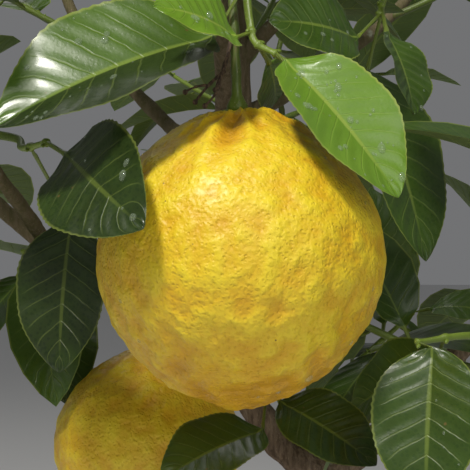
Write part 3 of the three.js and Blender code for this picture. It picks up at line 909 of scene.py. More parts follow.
# ---------------------------------------------------------------- pot, saucer and soil
@dataclass(frozen=True)
class Holder:
    """The clay pot, its saucer and the soil, with every size in millimetres."""

    gap: float = 0.3
    saucer_radius: float = 126
    saucer_height: float = 24
    saucer_wall: float = 6
    saucer_floor: float = 6
    saucer_flare: float = 6
    foot_radius: float = 92
    top_radius: float = 128
    height: float = 214
    wall: float = 8
    floor: float = 9
    drain_radius: float = 9
    rim_height: float = 34
    rim_stand: float = 7
    below_rim: float = 26
    dome: float = 5
    sides: int = 128
    corner: float = 1.2
    rib_height: float = 2.3
    rib_depth: float = 0.12
    longest_cell: float = 8
    cell: float = 5
    even_middle: float = 12
    even_foot: float = 0.5
    stray_size: float = 110
    soil_depth: float = 16
    crumbs: int = 640

    @property
    def pot_foot(self) -> float:
        """The height of the pot's underside."""
        return self.saucer_floor + self.gap

    @property
    def pot_top(self) -> float:
        """The height of the pot's rim."""
        return self.pot_foot + self.height

    @property
    def soil_top(self) -> float:
        """The height of the soil at the pot's wall."""
        return self.pot_top - self.below_rim

    def pot_radius(self, z: float) -> float:
        """The pot wall's outer radius at a height."""
        spread = self.top_radius - self.foot_radius
        return self.foot_radius + spread * (z - self.pot_foot) / self.height

    def turned(self, name: str, profile: Sequence[tuple[float, float]], uneven: float) -> Piece:
        """A profile spun round the tree's upright line, with soft corners and a maker's hand in it.

        Args:
            name: The piece's name.
            profile: Its corners as (radius, height), in millimetres, as a closed line.
            uneven: How far the wall strays, in millimetres.

        Returns:
            The piece.
        """
        piece = Piece(name)
        bm = piece.bm
        corners = [bm.verts.new(mm(radius, 0, z)) for radius, z in profile]
        edges = [bm.edges.new(pair) for pair in zip(corners, corners[1:])]
        if profile[0][0] > 0:
            edges.append(bm.edges.new((corners[-1], corners[0])))
        bmesh.ops.bevel(
            bm, geom=corners, offset=self.corner * MM, offset_type="OFFSET", affect="VERTICES",
            segments=3, profile=0.5, material=-1,
        )
        for edge in [edge for edge in bm.edges if edge.calc_length() > self.longest_cell * MM]:
            cuts = int(edge.calc_length() / (self.cell * MM))
            bmesh.ops.subdivide_edges(bm, edges=[edge], cuts=cuts)
        bmesh.ops.spin(
            bm, geom=bm.verts[:] + bm.edges[:], cent=(0, 0, 0), axis=(0, 0, 1),
            angle=TAU, steps=self.sides, use_merge=True, use_duplicate=False,
        )
        bmesh.ops.remove_doubles(bm, verts=bm.verts[:], dist=1e-6)
        # The spin leaves the order of its faces to chance, so they are put in a fixed one.
        bm.verts.index_update()
        order = sorted(bm.faces, key=corner_numbers)
        bm.faces.sort(key={face: rank for rank, face in enumerate(order)}.get)
        for v in bm.verts:
            flat = Vector((v.co.x, v.co.y, 0))
            if flat.length < self.even_middle * MM or v.co.z < self.even_foot * MM:
                continue
            rings = math.sin(v.co.z / (self.rib_height * MM)) * self.rib_depth
            stray = wavering(v.co, self.stray_size * MM) * uneven + rings
            v.co += flat.normalized() * stray * MM
        return piece

    def make_saucer(self, finishes: Finishes) -> None:
        """Makes the saucer.

        Args:
            finishes: The tree's materials.
        """
        radius, wall, flare = self.saucer_radius, self.saucer_wall, self.saucer_flare
        inner = radius - wall - flare
        floor = self.saucer_floor
        profile = [
            (0, 0), (radius - flare - 14, 0), (radius - flare - 12, 1.2), (radius - flare - 6, 1.2),
            (radius - flare, 0.8), (radius - 0.6, self.saucer_height - 4),
            (radius + 0.4, self.saucer_height - 1), (radius - 1.5, self.saucer_height),
            (radius - wall + 1, self.saucer_height), (radius - wall - 0.6, self.saucer_height - 3),
            (inner + 0.5, floor + 2), (inner - 3, floor + 0.2), (0, floor),
        ]
        self.turned("clay_saucer", profile, 0.5).finish([finishes.clay], "clay", ["saucer"])

    def make_pot(self, finishes: Finishes) -> None:
        """Makes the pot, with its rim band and drain hole.

        Args:
            finishes: The tree's materials.
        """
        top, foot = self.pot_top, self.pot_foot
        band = top - self.rim_height
        outer, inner = self.top_radius + self.rim_stand, self.top_radius - self.wall
        low = foot + self.floor
        drain = self.drain_radius
        profile = [
            (drain, foot), (self.foot_radius - 3, foot), (self.foot_radius, foot + 2.5),
            (self.pot_radius(band - 6), band - 6), (self.pot_radius(band) + 0.8, band - 0.6),
            (self.pot_radius(band) + self.rim_stand - 1, band + 1.6),
            (outer - 2, band + 8), (outer - 1.2, top - 12), (outer + 0.3, top - 6),
            (outer - 0.4, top - 1.6), (outer - 4, top), (inner + 2, top), (inner, top - 3),
            (self.pot_radius(low) - self.wall, low), (drain + 1, low), (drain, low - 1),
        ]
        self.turned("clay_pot", profile, 0.7).finish([finishes.clay], "clay", ["pot"])

    def ground(self, x: float, y: float) -> float:
        """The soil's height at a place, in metres: domed, lumpy and heaped at the trunk.

        Args:
            x: The place, in metres from the pot's middle.
            y: The same towards the back.

        Returns:
            The height.
        """
        inner = self.pot_radius(self.soil_top) - self.wall
        share = min(1.0, math.hypot(x, y) / (inner * MM))
        height = self.soil_top + self.dome * (1 - share**2)
        lumps = wavering(Vector((x, y, 0.3)), 0.024) * 1.7
        rough = lumps + wavering(Vector((x, y, 0.7)), 0.007) * 1.5
        heaped = 2.2 * bump(math.hypot(x - 0.003, y), 0.03)
        return (height + rough + heaped) * MM

    @property
    def soil_radius(self) -> float:
        """The soil's radius at its top."""
        return self.pot_radius(self.soil_top) - self.wall - self.gap - 0.4

    def make_soil(self, finishes: Finishes) -> None:
        """Makes the soil: a lumpy top and a flat underside.

        Args:
            finishes: The tree's materials.
        """
        rim = 0.9

        def place(around: float, share: float) -> Vector:
            """The place on the soil's skin, from the middle of its top to that of its underside.

            Args:
                around: The share round the pot.
                share: The share from the top's middle to the underside's.

            Returns:
                The place.
            """
            angle = TAU * around
            if share > rim:
                radius = self.soil_radius * MM * (1 - share) / 0.1
                z = (self.soil_top - self.soil_depth) * MM
                return Vector((math.cos(angle) * radius, math.sin(angle) * radius, z))
            radius = self.soil_radius * MM * share / rim
            x, y = math.cos(angle) * radius, math.sin(angle) * radius
            return Vector((x, y, self.ground(x, y)))

        def tone(around: float, share: float) -> float:
            """Darker and paler patches."""
            return 0.2 + 0.3 * wavering(place(around, share), 0.01)

        piece = Piece("potting_soil")
        piece.sheet(120, 40, place, tone)
        piece.finish([finishes.soil], "soil", ["soil"])

    def make_crumbs(self, finishes: Finishes) -> None:
        """Makes the loose crumbs, bark chips and grit on the soil.

        Args:
            finishes: The tree's materials.
        """
        nearest, furthest = 0.035, 0.93
        grit, chip = 0.93, 0.55
        piece = Piece("soil_crumbs")
        draw = random.Random(5)
        for _ in range(self.crumbs):
            angle = draw.uniform(0, TAU)
            reach = math.sqrt(draw.uniform(nearest, furthest)) * self.soil_radius * MM
            x, y = math.cos(angle) * reach, math.sin(angle) * reach
            kind = draw.random()
            big = (0.9 + 4.2 * draw.random() ** 2.2) * MM
            spreads = (0.7, 1.9), (0.5, 1.1), (0.35, 0.8)
            size = Vector([big * draw.uniform(*spread) for spread in spreads])
            if kind > grit:
                tone = 1.0
                size *= 0.75
            else:
                tone = draw.uniform(0.5, 0.8) if kind > chip else draw.uniform(0, 0.3)
            tilt = draw.uniform(-0.3, 0.3), draw.uniform(-0.3, 0.3), 1
            turn = Quaternion(tilt, draw.uniform(0, TAU))
            piece.ball(Vector((x, y, self.ground(x, y) + size.z * 0.3)), size, turn, 1, tone)
        piece.finish([finishes.soil], "soil")


HOLDER = Holder()
FRONT_DIAMETER = 118


def above_soil(x: float, y: float, z: float) -> Vector:
    """A place over the soil, given in millimetres, in metres."""
    return mm(x, y, z + HOLDER.soil_top)


FRONT = above_soil(0, -200, 326)


def near(x: float, y: float, z: float) -> Vector:
    """A place given in millimetres from the front lemon's centre, in metres."""
    return FRONT + mm(x, y, z)


# ---------------------------------------------------------------- wood
@dataclass(frozen=True)
class Limb:
    """A limb's line, a cubic Bezier with a slight waver, and its two radii in millimetres."""

    points: tuple[Vector, ...]
    radii: tuple[float, float]
    phase: float
    wander: float = 2.2

    def point(self, share: float) -> Vector:
        """The point at a share of the limb.

        Args:
            share: Where on it.

        Returns:
            The point.
        """
        waver = self.wander * 4 * share * (1 - share)
        across = mm(math.sin(9 * share + self.phase), math.cos(7 * share + self.phase), 0)
        return bezier(self.points, share) + across * waver

    def radius(self, share: float) -> float:
        """The radius at a share of the limb, in metres."""
        return (self.radii[0] + (self.radii[1] - self.radii[0]) * share) * MM


# Each limb's four points, in millimetres from the middle of the soil's edge, and its two radii.
LIMB_LINES: dict[str, tuple[tuple[tuple[float, float, float], ...], tuple[float, float]]] = {
    "trunk": (((0, 0, -76), (0, 0, 68), (30, 8, 136), (50, 10, 196)), (14, 10.5)),
    "leader": (((50, 10, 196), (38, 10, 212), (-14, 8, 230), (-8, 14, 306)), (9.5, 8)),
    "top": (((-8, 14, 306), (-6, 17, 362), (14, 20, 446), (-4, 10, 558)), (8, 3)),
    "right": (((50, 10, 196), (92, 16, 236), (166, 14, 306), (212, -40, 368)), (8.5, 3)),
    "left": (((-11, 11, 270), (-60, 12, 302), (-150, 4, 326), (-188, -16, 446)), (7, 3)),
    "front": (((-7, 16, 354), (-10, -50, 446), (-12, -146, 508), (-3.6, -194, 438)), (6.4, 2.6)),
    "back": (((-9, 13, 292), (0, 84, 326), (10, 148, 426), (24, 206, 440)), (6.4, 3)),
    "backLeft": (((-6, 16, 372), (-50, 60, 406), (-104, 108, 446), (-124, 130, 534)), (5, 2.8)),
    "backRight": (((-1, 18, 402), (40, 50, 426), (104, 90, 456), (132, 112, 536)), (5, 2.8)),
    "frontRight": (((1, 18, 436), (40, -24, 470), (84, -90, 496), (98, -128, 536)), (4.4, 2.6)),
    "lowLeft": (((-11, 11, 268), (-22, -20, 312), (-44, -60, 332), (-46, -80, 312)), (5, 2.8)),
    "lowRight": (((108, 12, 250), (122, -40, 256), (140, -110, 276), (138, -160, 326)), (4.6, 2.6)),
    "sideLeft": (
        ((-92, 9, 316), (-104, -50, 336), (-128, -120, 366), (-116, -160, 406)), (4.6, 2.6)
    ),
}
LIMBS = {
    name: Limb(tuple(above_soil(*p) for p in points), radii, i * 2.4)
    for i, (name, (points, radii)) in enumerate(LIMB_LINES.items())
}


@dataclass(frozen=True)
class Wood:
    """The trunk, its limbs and its main roots, as one skin of bark."""

    flare: float = 4.5
    flare_spread: float = 14
    graft_height: float = 62
    graft_swell: float = 3.2
    graft_spread: float = 16
    roots: int = 5
    root_radius: float = 6
    voxel: float = 1.35
    sides: int = 18

    def swell(self, place: Vector) -> float:
        """How much the trunk widens at a place, in metres.

        Args:
            place: A point of the trunk's middle line.

        Returns:
            What is added to its radius.
        """
        above = place.z / MM - HOLDER.soil_top
        flare = self.flare * math.exp(-max(above, 0) / self.flare_spread)
        return (flare + self.graft_swell * bump(above - self.graft_height, self.graft_spread)) * MM

    def root_line(self, turn: float) -> list[Vector]:
        """The middle line of a main root that leaves the trunk at a turn.

        Args:
            turn: The root's direction, in radians.

        Returns:
            Points of the line.
        """
        x, y = math.cos(turn), math.sin(turn)
        reaches = (2, 14), (37, 18), (62, 70)
        ends = [above_soil(x * reach, y * reach, -depth) for reach, depth in reaches]
        return [arc(*ends, share) for share in evenly(6)]

    def draft(self) -> tuple[Piece, list[tuple[Vector, float]]]:
        """Makes the limbs and roots as separate tubes.

        Returns:
            The tubes, and points of their middle lines with their radii.
        """
        piece = Piece("wood_draft")
        samples: list[tuple[Vector, float]] = []
        for name, limb in LIMBS.items():
            line = [limb.point(share) for share in evenly(40)]
            radii = []
            for share, place in zip(evenly(40), line):
                trunk = name == "trunk"
                thick = limb.radius(share) + (self.swell(place) if trunk else 0)
                collar = 0 if trunk else 0.9 * MM * bump(share, 0.05)
                waist = 0.045 * math.sin(share * 46 + limb.phase)
                knots = 1 + waist + 0.03 * wavering(place, 0.012)
                radii.append((thick + collar) * knots)
                samples.append((place, thick))
            piece.tube(line, radii, self.sides)
        for i in range(self.roots):
            line = self.root_line(i * TAU / self.roots + 0.4)
            radii = [self.root_radius * MM * (1 - 0.7 * k / 6) for k in range(7)]
            piece.tube(line, radii, 12)
            samples.extend(zip(line, radii))
        bmesh.ops.recalc_face_normals(piece.bm, faces=piece.bm.faces)
        return piece, samples

    def joined(self, draft: Piece) -> bpy.types.Mesh:
        """The draft's tubes joined into one closed skin.

        Args:
            draft: The tubes.

        Returns:
            The skin.
        """
        mesh = bpy.data.meshes.new(draft.name)
        draft.bm.to_mesh(mesh)
        holder = bpy.data.objects.new(draft.name, mesh)
        bpy.context.scene.collection.objects.link(holder)
        skin = holder.modifiers.new("skin", "REMESH")
        skin.mode = "VOXEL"
        skin.voxel_size = self.voxel * MM
        graph = bpy.context.evaluated_depsgraph_get()
        joined = bpy.data.meshes.new_from_object(holder.evaluated_get(graph))
        bpy.data.objects.remove(holder)
        return joined

    def make(self, finishes: Finishes) -> None:
        """Makes the wood: tubes joined into one skin, then roughened as bark.

        Args:
            finishes: The tree's materials.
        """
        draft, samples = self.draft()
        piece = Piece("trunk_and_limbs")
        piece.bm.from_mesh(self.joined(draft))
        layers = piece.bm.verts.layers.float
        piece.tone = layers.get("tone") or layers.new("tone")
        self.roughen(piece, samples)
        piece.finish([finishes.bark], "bark", ["trunk_and_branches"], outward=False)

    def roughen(self, piece: Piece, samples: Sequence[tuple[Vector, float]]) -> None:
        """Smooths the joined skin and raises its bark.

        Args:
            piece: The joined skin.
            samples: Points of the limbs' middle lines, with their radii.
        """
        bm = piece.bm
        for _ in range(3):
            bmesh.ops.smooth_vert(
                bm, verts=bm.verts, factor=0.5, use_axis_x=True, use_axis_y=True, use_axis_z=True
            )
        tree = KDTree(len(samples))
        for i, (place, _) in enumerate(samples):
            tree.insert(place, i)
        tree.balance()
        bm.normal_update()
        moves = []
        for v in bm.verts:
            _, index, _ = tree.find(v.co)
            thick = samples[index][1] / MM
            age = smooth(2.5, 10, thick)
            strips = wavering(Vector((v.co.x, v.co.y, v.co.z * 0.22)), 0.0032)
            long = Vector((v.co.x, v.co.y, v.co.z * 0.3))
            cracks = -abs(wavering(long + Vector((5, 2, 1)), 0.006))
            lumps = wavering(v.co, 0.02)
            rise = (strips * 0.42 + cracks * 0.7 + lumps * 0.5) * (0.25 + age) * 0.9 + lumps * 0.1
            moves.append((v, v.normal * (rise + 0.25) * MM, age))
        for v, move, age in moves:
            v.co += move
            v[piece.tone] = age


# ---------------------------------------------------------------- lemons
@dataclass(frozen=True)
class Lemon:
    """A lemon: its centre, its diameter in millimetres, its lean and its limb."""

    name: str
    centre: Vector
    diameter: float
    lean: tuple[float, float]
    limb: str
    detail: int
    seed: float

    @property
    def turn(self) -> Matrix:
        """The turn that leans the lemon's upright axis."""
        return Matrix.Rotation(-self.lean[1], 3, "X") @ Matrix.Rotation(self.lean[0], 3, "Y")

    @staticmethod
    def peel(from_neck: float, around: float) -> float:
        """The peel's distance from the centre, as a share of the radius.

        Args:
            from_neck: The angle from the neck, in radians.
            around: The angle round the fruit, in radians.

        Returns:
            The share.
        """
        off_axis = min(1.0, 3 * math.sin(from_neck))
        neck = 0.075 * bump(from_neck, 0.34) * (1 + 0.5 * off_axis * math.cos(around - 0.3))
        dimple = 0.075 * bump(from_neck, 0.13)
        nipple = 0.05 * bump(math.pi - from_neck, 0.22)
        band = bump(from_neck - 0.36, 0.24)
        furrows = 0.012 * off_axis * math.cos(6 * around + 0.8) * band
        lumps = 0.008 * math.sin(3 * around + 1.2) * math.sin(from_neck)
        lumps += 0.006 * math.sin(5 * from_neck)
        return 1 + neck - dimple + nipple + furrows + lumps

    def local(self, x: float, y: float, z: float) -> Vector:
        """A place in the lemon's own axes, in metres, in the tree's."""
        return self.turn @ Vector((x, y, z)) + self.centre

    @property
    def seat(self) -> float:
        """How far over the centre the calyx sits, in metres."""
        return self.diameter / 2 * MM * self.peel(0, 0)

    def skin(self, way: Vector) -> tuple[Vector, float]:
        """The peel's surface in a direction.

        Args:
            way: The direction from the centre, in the lemon's own axes, of length 1.

        Returns:
            The place in the lemon's own axes, in metres, and the tone there, which drops
                in the hollows and towards the bottom as painted shade.
        """
        from_neck = math.acos(max(-1.0, min(1.0, way.z)))
        around = math.atan2(way.y, way.x)
        reach = self.peel(from_neck, around)
        shifted = way + Vector((self.seed, 0, 0))
        neck = smooth(1.0, 0.2, from_neck) * smooth(0.07, 0.2, from_neck)
        broad = noise.noise(shifted * 2.1) * 0.012
        knobs = noise.noise(shifted * 6.5 + Vector((3, 1, 4))) * 0.015
        dents = -abs(noise.noise(shifted * 5.2 + Vector((8, 8, 2)))) * 0.018
        fine = noise.noise(shifted * 13) * 0.0065 + noise.noise(shifted * 24) * 0.0022
        radiating = Vector((around * 2.6 + self.seed, from_neck * 1.2, 2.0))
        creases = -abs(noise.noise(radiating)) * 0.075 * neck
        low = smooth(1.4, 2.6, from_neck)
        rough = (broad + knobs + dents + fine) * (0.7 + 0.9 * low + 0.6 * neck) + creases
        # Painted shade: the tone drops in dents and creases, so the peel is painted darker there.
        tone = 0.5 + (knobs + dents * 0.6 + creases * 0.5) * 32
        # Painted shade: the tone drops towards the bottom, so the underside is painted darker.
        tone -= 0.6 * smooth(1.7, 2.9, from_neck)
        return way * (self.diameter / 2 * MM) * (reach + rough), tone

    def make_fruit(self, finishes: Finishes) -> None:
        """Makes the fruit.

        Args:
            finishes: The tree's materials.
        """
        piece = Piece(f"lemon_{self.name}_peel")
        made = bmesh.ops.create_icosphere(piece.bm, subdivisions=self.detail, radius=1.0)
        for v in made["verts"]:
            place, tone = self.skin(v.co.normalized())
            v.co = self.turn @ place + self.centre
            v[piece.tone] = tone
        piece.finish([finishes.peel], "peel", [f"lemon_{self.name}"])

    def stalk_point(self, share: float) -> Vector:
        """The middle of the stalk at a share of its length, from the limb down to the fruit.

        Args:
            share: Where on it.

        Returns:
            The point.
        """
        limb = LIMBS[self.limb]
        top = limb.point(1.0)
        ahead = top + tangent(limb.point, 1.0) * 10 * MM
        foot = self.local(0, 0, self.seat + 1.7 * MM)
        return bezier((top, ahead, self.local(0, 0, self.seat + 20 * MM), foot), share)

    def calyx(self, around: float, share: float) -> Vector:
        """The place on the five-lobed calyx, from its top's middle to its underside's middle.

        Args:
            around: The share round the calyx.
            share: The share from the top's middle to the underside's.

        Returns:
            The place.
        """
        lobes, radius, height = 5, 7.6, 3.0
        angle = TAU * around
        under = share > 0.5
        reach = (1 - share) * 2 if under else share * 2
        lobed = 1 + 0.26 * reach * math.cos(lobes * angle) + 0.05 * math.sin(angle * 2 + 1)
        out = radius * MM * reach * lobed
        curl = 1.1 * MM * reach**3 * math.cos(lobes * angle)
        droop = height * MM * (1 - reach**1.6) + curl
        thick = -1.3 * MM * (1 - reach**4) if under else 0.35 * MM
        z = self.seat - 0.2 * MM + droop + thick
        return self.local(math.cos(angle) * out, math.sin(angle) * out, z)

    def make_stalk(self, finishes: Finishes) -> None:
        """Makes the stalk and the calyx, which stay on the tree when the fruit is picked.

        Args:
            finishes: The tree's materials.
        """
        line = [self.stalk_point(share) for share in evenly(26)]
        radii = []
        for share in evenly(26):
            knots = 0.5 * bump(share - 0.42, 0.035) + 0.35 * bump(share - 0.72, 0.03)
            radii.append((1.75 + 0.3 * share + knots + 2.6 * smooth(0.86, 1.0, share)) * MM)

        def ridged(around: float, share: float) -> float:
            """Five ridges, and rings across them."""
            return 1 + 0.06 * math.cos(TAU * 5 * around) + 0.05 * math.sin(share * 70)

        def corky(_: float, share: float) -> float:
            """Corky above and green at the fruit."""
            return 0.62 - 0.45 * smooth(0.7, 1.0, share)

        def rimmed(_: float, share: float) -> float:
            """Green with a browner rim and middle."""
            return 0.15 + 0.35 * abs(share * 2 - 1)

        piece = Piece(f"stalk_{self.name}_calyx")
        piece.tube(line, radii, 20, corky, 0, ridged)
        piece.sheet(60, 20, self.calyx, rimmed)
        piece.finish([finishes.green_wood], "green_wood", [f"stalk_{self.name}"])


LEMONS = (
    Lemon("front", FRONT, FRONT_DIAMETER, (-0.02, -0.02), "front", 7, 0.0),
    Lemon("low", near(-46, 120, -94), 92, (0.06, 0.03), "lowLeft", 6, 11.0),
    Lemon("right", above_soil(217, -62, 294), 96, (-0.03, 0.08), "right", 6, 23.0),
    Lemon("back", above_soil(30, 222, 368), 84, (0.05, -0.06), "back", 6, 37.0),
)


# ---------------------------------------------------------------- leaves
@dataclass(frozen=True)
class Blade:
    """How finely leaves are made, and how far their surface strays, in millimetres."""

    columns: int
    rows: int
    wave: float
    quilt: float
    rib: float
    thick: float
    cut: bool


NEAR_BLADE = Blade(columns=40, rows=56, wave=1.1, quilt=0.22, rib=0.75, thick=0.2, cut=False)
FAR_BLADE = Blade(columns=8, rows=7, wave=0.8, quilt=0.0, rib=0.4, thick=0.34, cut=True)


@dataclass(frozen=True)
class Leaf:
    """A leaf: where its stalk starts, where its blade starts, and the blade's set and sizes."""

    stem: Vector
    base: Vector
    heading: Vector
    up: Vector
    length: float
    width: float
    fold: float
    droop: float
    twist: float = 0.0

    STALK_RADIUS = 1.0 * MM
    RISE = 0.62
    FALL = 0.82

    @classmethod
    def between(
        cls,
        stem: Vector,
        base: Vector,
        tip: Vector,
        facing: Vector,
        width: float,
        fold: float,
        droop: float,
    ) -> "Leaf":
        """A leaf whose blade runs from base to tip with its upper face looking towards facing.

        Args:
            stem: Where its stalk starts.
            base: Where its blade starts.
            tip: Where its blade ends.
            facing: Where its upper face looks.
            width: Its width in millimetres.
            fold: How far its halves fold up, in radians.
            droop: How far it bends down from base to tip, in radians.

        Returns:
            The leaf.
        """
        chord = tip - base
        half = droop / 2
        length = chord.length * half / math.sin(half)
        chord.normalize()
        over = (facing - chord * facing.dot(chord)).normalized()
        heading = chord * math.cos(half) + over * math.sin(half)
        up = over * math.cos(half) - chord * math.sin(half)
        return cls(stem, base, heading, up, length, width * MM, fold, droop)

    def outline(self, share: float) -> float:
        """Half the blade's width as a share of its widest.

        Args:
            share: How far along the blade.

        Returns:
            The share.
        """
        widest = self.RISE / (self.RISE + self.FALL)
        peak = widest**self.RISE * (1 - widest) ** self.FALL
        return max(0.0, share) ** self.RISE * max(0.0, 1 - share) ** self.FALL / peak

    def axes(self, share: float) -> tuple[Vector, Vector, Vector]:
        """The middle, the sideways and the upward direction at a share of the blade.

        Args:
            share: How far along the blade; the stalk runs from -1 to 0.

        Returns:
            The place of the middle, and the two directions.
        """
        if share <= 0:
            return self.base.lerp(self.stem, -share), self.heading.cross(self.up), self.up.copy()
        bend = self.droop * share
        heading = self.heading * math.cos(bend) - self.up * math.sin(bend)
        over = self.up * math.cos(bend) + self.heading * math.sin(bend)
        turn = Quaternion(heading, self.twist * bend)
        radius = self.length / self.droop
        middle = self.base + self.heading * (radius * math.sin(bend))
        middle = middle - self.up * (radius * (1 - math.cos(bend)))
        return middle, turn @ self.heading.cross(self.up), turn @ over

    def tip(self) -> Vector:
        """The blade's tip."""
        return self.axes(1.0)[0]

    def point(self, share: float, across: float, lift: float) -> Vector:
        """A place over the blade.

        Args:
            share: How far along it is, from the blade's base to its tip.
            across: From -1 at one margin to 1 at the other.
            lift: How far over the blade's middle skin, in metres.

        Returns:
            The place.
        """
        middle, side, over = self.axes(share)
        fold = self.fold * (1 - 0.4 * share) * min(1.0, share * 8) if share > 0 else 0.0
        half = max(self.STALK_RADIUS, self.width / 2 * self.outline(share)) if share < 1 else 0.0
        out = half * across
        return middle + side * (out * math.cos(fold)) + over * (abs(out) * math.sin(fold) + lift)


@dataclass(frozen=True)
class LeafSkin:
    """A leaf's closed skin, from its stalk's start to its tip.

    A share round the skin runs over the under face first, up to a half, and then over the upper
    face. A share along it takes in the stalk and then the blade.
    """

    leaf: Leaf
    blade: Blade
    tone: float
    phase: float
    # Painted shade: how far the tone drops on the half past the midrib.
    lower: float = 0.0

    WAVES = 2.1
    TEETH = 24

    @property
    def stalk_rows(self) -> int:
        """Cells along the stalk."""
        return 2 if self.blade.rows < 20 else 10

    @property
    def rows(self) -> int:
        """Cells along the stalk and the blade."""
        return self.stalk_rows + self.blade.rows

    def share(self, along: float) -> float:
        """How far along the blade a row is; the stalk runs from -1 to 0.

        Args:
            along: The share along the skin.

        Returns:
            The share along the blade.
        """
        row = along * self.rows
        if row <= self.stalk_rows:
            return row / self.stalk_rows - 1
        even = (row - self.stalk_rows) / self.blade.rows
        return even * 0.5 + (1 - math.cos(math.pi * even)) * 0.25

    @staticmethod
    def section(around: float) -> tuple[float, bool]:
        """How far across the blade a column is, from -1 to 1, and whether it is the under face.

        Args:
            around: The share round the skin.

        Returns:
            The share across, and whether it is the under face.
        """
        under = around < 0.5
        run = 1 - 4 * around if under else 4 * around - 3
        return math.copysign(abs(run) ** 1.2, run), under

    def ripple(self, share: float, across: float) -> float:
        """How far the blade's waves and quilting lift its skin, in millimetres.

        Args:
            share: How far along the blade.
            across: From -1 at one margin to 1 at the other.

        Returns:
            The lift.
        """
        off = abs(across)
        run = share * SIDE_VEINS - off * VEIN_SWEEP
        quilt = self.blade.quilt * math.cos(TAU * run) * 4 * off * (1 - off)
        waves = math.sin(TAU * (share * self.WAVES + self.phase) + math.copysign(1.4, across))
        ends = math.sin(math.pi * min(1, max(0, share)))
        return quilt + self.blade.wave * waves * across**2 * ends

    def top(self, share: float, across: float) -> Vector:
        """A place on the upper face."""
        lift = (self.blade.thick + self.ripple(share, across)) * MM
        return self.leaf.point(share, across, lift)

    def lift(self, share: float, across: float, under: bool) -> float:
        """How far the skin is over the blade's middle skin, in millimetres.

        Args:
            share: How far along the blade.
            across: From -1 at one margin to 1 at the other.
            under: Whether it is the under face.

        Returns:
            The lift.
        """
        out = abs(across) * self.leaf.width / 2 * self.leaf.outline(share) / MM
        rib = self.blade.rib * bump(out, 1.1) * (1 - 0.75 * max(0.0, share))
        thick = math.sqrt(max(0.0, 1 - abs(across) ** 6))
        if under:
            skin = -(0.8 * self.blade.thick * thick + rib)
        else:
            skin = self.blade.thick * thick - 0.22 * rib
        return skin + self.ripple(share, across)

    def place(self, around: float, along: float) -> Vector:
        """A place on the skin: round on the stalk, and flat from a little way up the blade.

        Args:
            around: The share round the skin.
            along: The share along it.

        Returns:
            The place.
        """
        share = self.share(along)
        flat = smooth(0.0, 0.07, share)
        across, under = self.section(around)
        angle = -TAU * around
        knee = 1 + 0.4 * bump(share + 0.06, 0.09) + 0.35 * bump(share + 1, 0.12)
        round_lift = math.sin(angle) * self.leaf.STALK_RADIUS * knee
        lift = round_lift * (1 - flat) + self.lift(share, across, under) * MM * flat
        if share >= 1 or along <= 0:
            lift = 0.0
        teeth = 0.012 * math.sin(TAU * share * self.TEETH)
        edge = 1 + teeth * abs(across) ** 3 * flat
        reach = math.cos(angle) * knee * (1 - flat) + across * flat * edge
        return self.leaf.point(share, 0.0 if along <= 0 else reach, lift)

    def chart(self, around: float, along: float) -> tuple[float, float]:
        """The UV map's place: across the blade and along it, with the stalk below 0.

        Args:
            around: The share round the skin.
            along: The share along it.

        Returns:
            The two parts of the UV map.
        """
        share = self.share(along)
        across, _ = self.section(around)
        return (across + 1) / 2, share if share > 0 else share * 0.2 - 0.02

    @staticmethod
    def face(around: float) -> int:
        """The material of a column."""
        return (FoliageSlot.UNDER if around < 0.5 else FoliageSlot.UPPER).value

    def shaded(self, around: float, _: float) -> float:
        """The tone, darkened past the midrib on one half by painted shade."""
        return self.tone + self.lower * smooth(-0.01, 0.06, -self.section(around)[0])

    def grow(self, piece: Piece) -> None:
        """Adds the leaf to a piece."""
        columns, cut = self.blade.columns, self.blade.cut
        piece.sheet(columns, self.rows, self.place, self.shaded, self.face, self.chart, cut)


# ---------------------------------------------------------------- shoots
GOLDEN = 137.5
TRIES = (0, 28, -28, 56, -56, 84, -84, 112)
LIFTS = (0, 25, -25)
LEAF_LENGTH = 78 * MM
LEAF_SLENDER = 0.56
LEAF_FOLD = 0.3
LEAF_DROOP = 0.55
LEAF_STALK = 11 * MM
TWIG_RADIUS = 2.1
TWIG_TAPER = 0.9
FIRST_LEAF = 0.16
SAME_PLACE = 0.15 * MM


def aim(azimuth: float, rise: float) -> Vector:
    """A direction from its azimuth and its rise, in degrees.

    Args:
        azimuth: The turn from +X towards +Y.
        rise: How far it points up.

    Returns:
        A vector of length 1.
    """
    turn, lift = math.radians(azimuth), math.radians(rise)
    level = math.cos(lift)
    return Vector((math.cos(turn) * level, math.sin(turn) * level, math.sin(lift)))


def vary(index: int, kind: int) -> float:
    """A repeatable number from 0 to 1 for one choice about one piece."""
    return (index * 0.7548776662 + kind * 0.569840291) % 1


@dataclass(frozen=True)
class Twig:
    """A shoot's axis: it leaves its limb in a direction and turns up to the light."""

    root: Vector
    direction: Vector
    length: float
    lift: float = 0.16

    def point(self, share: float) -> Vector:
        """The point at a share of the twig."""
        rise = Vector((0, 0, self.lift * self.length * share * share))
        return self.root + self.direction * (self.length * share) + rise


def twig_radii(
    steps: int,
    joints: Sequence[float],
    knot: tuple[float, float],
    collar: tuple[float, float],
) -> list[float]:
    """The radii of a twig from its limb to its tip, in metres.

    Args:
        steps: How many steps the twig is made in.
        joints: The shares of the twig where its leaves join it.
        knot: How far a joint swells, in millimetres, and over which share of the twig.
        collar: The same for the twig's start.

    Returns:
        The radius at each step.
    """
    radii = []
    for share in evenly(steps):
        knots = sum(knot[0] * bump(share - joint, knot[1]) for joint in joints)
        radius = TWIG_RADIUS - TWIG_TAPER * share + knots + collar[0] * bump(share, collar[1])
        radii.append(radius * MM)
    return radii


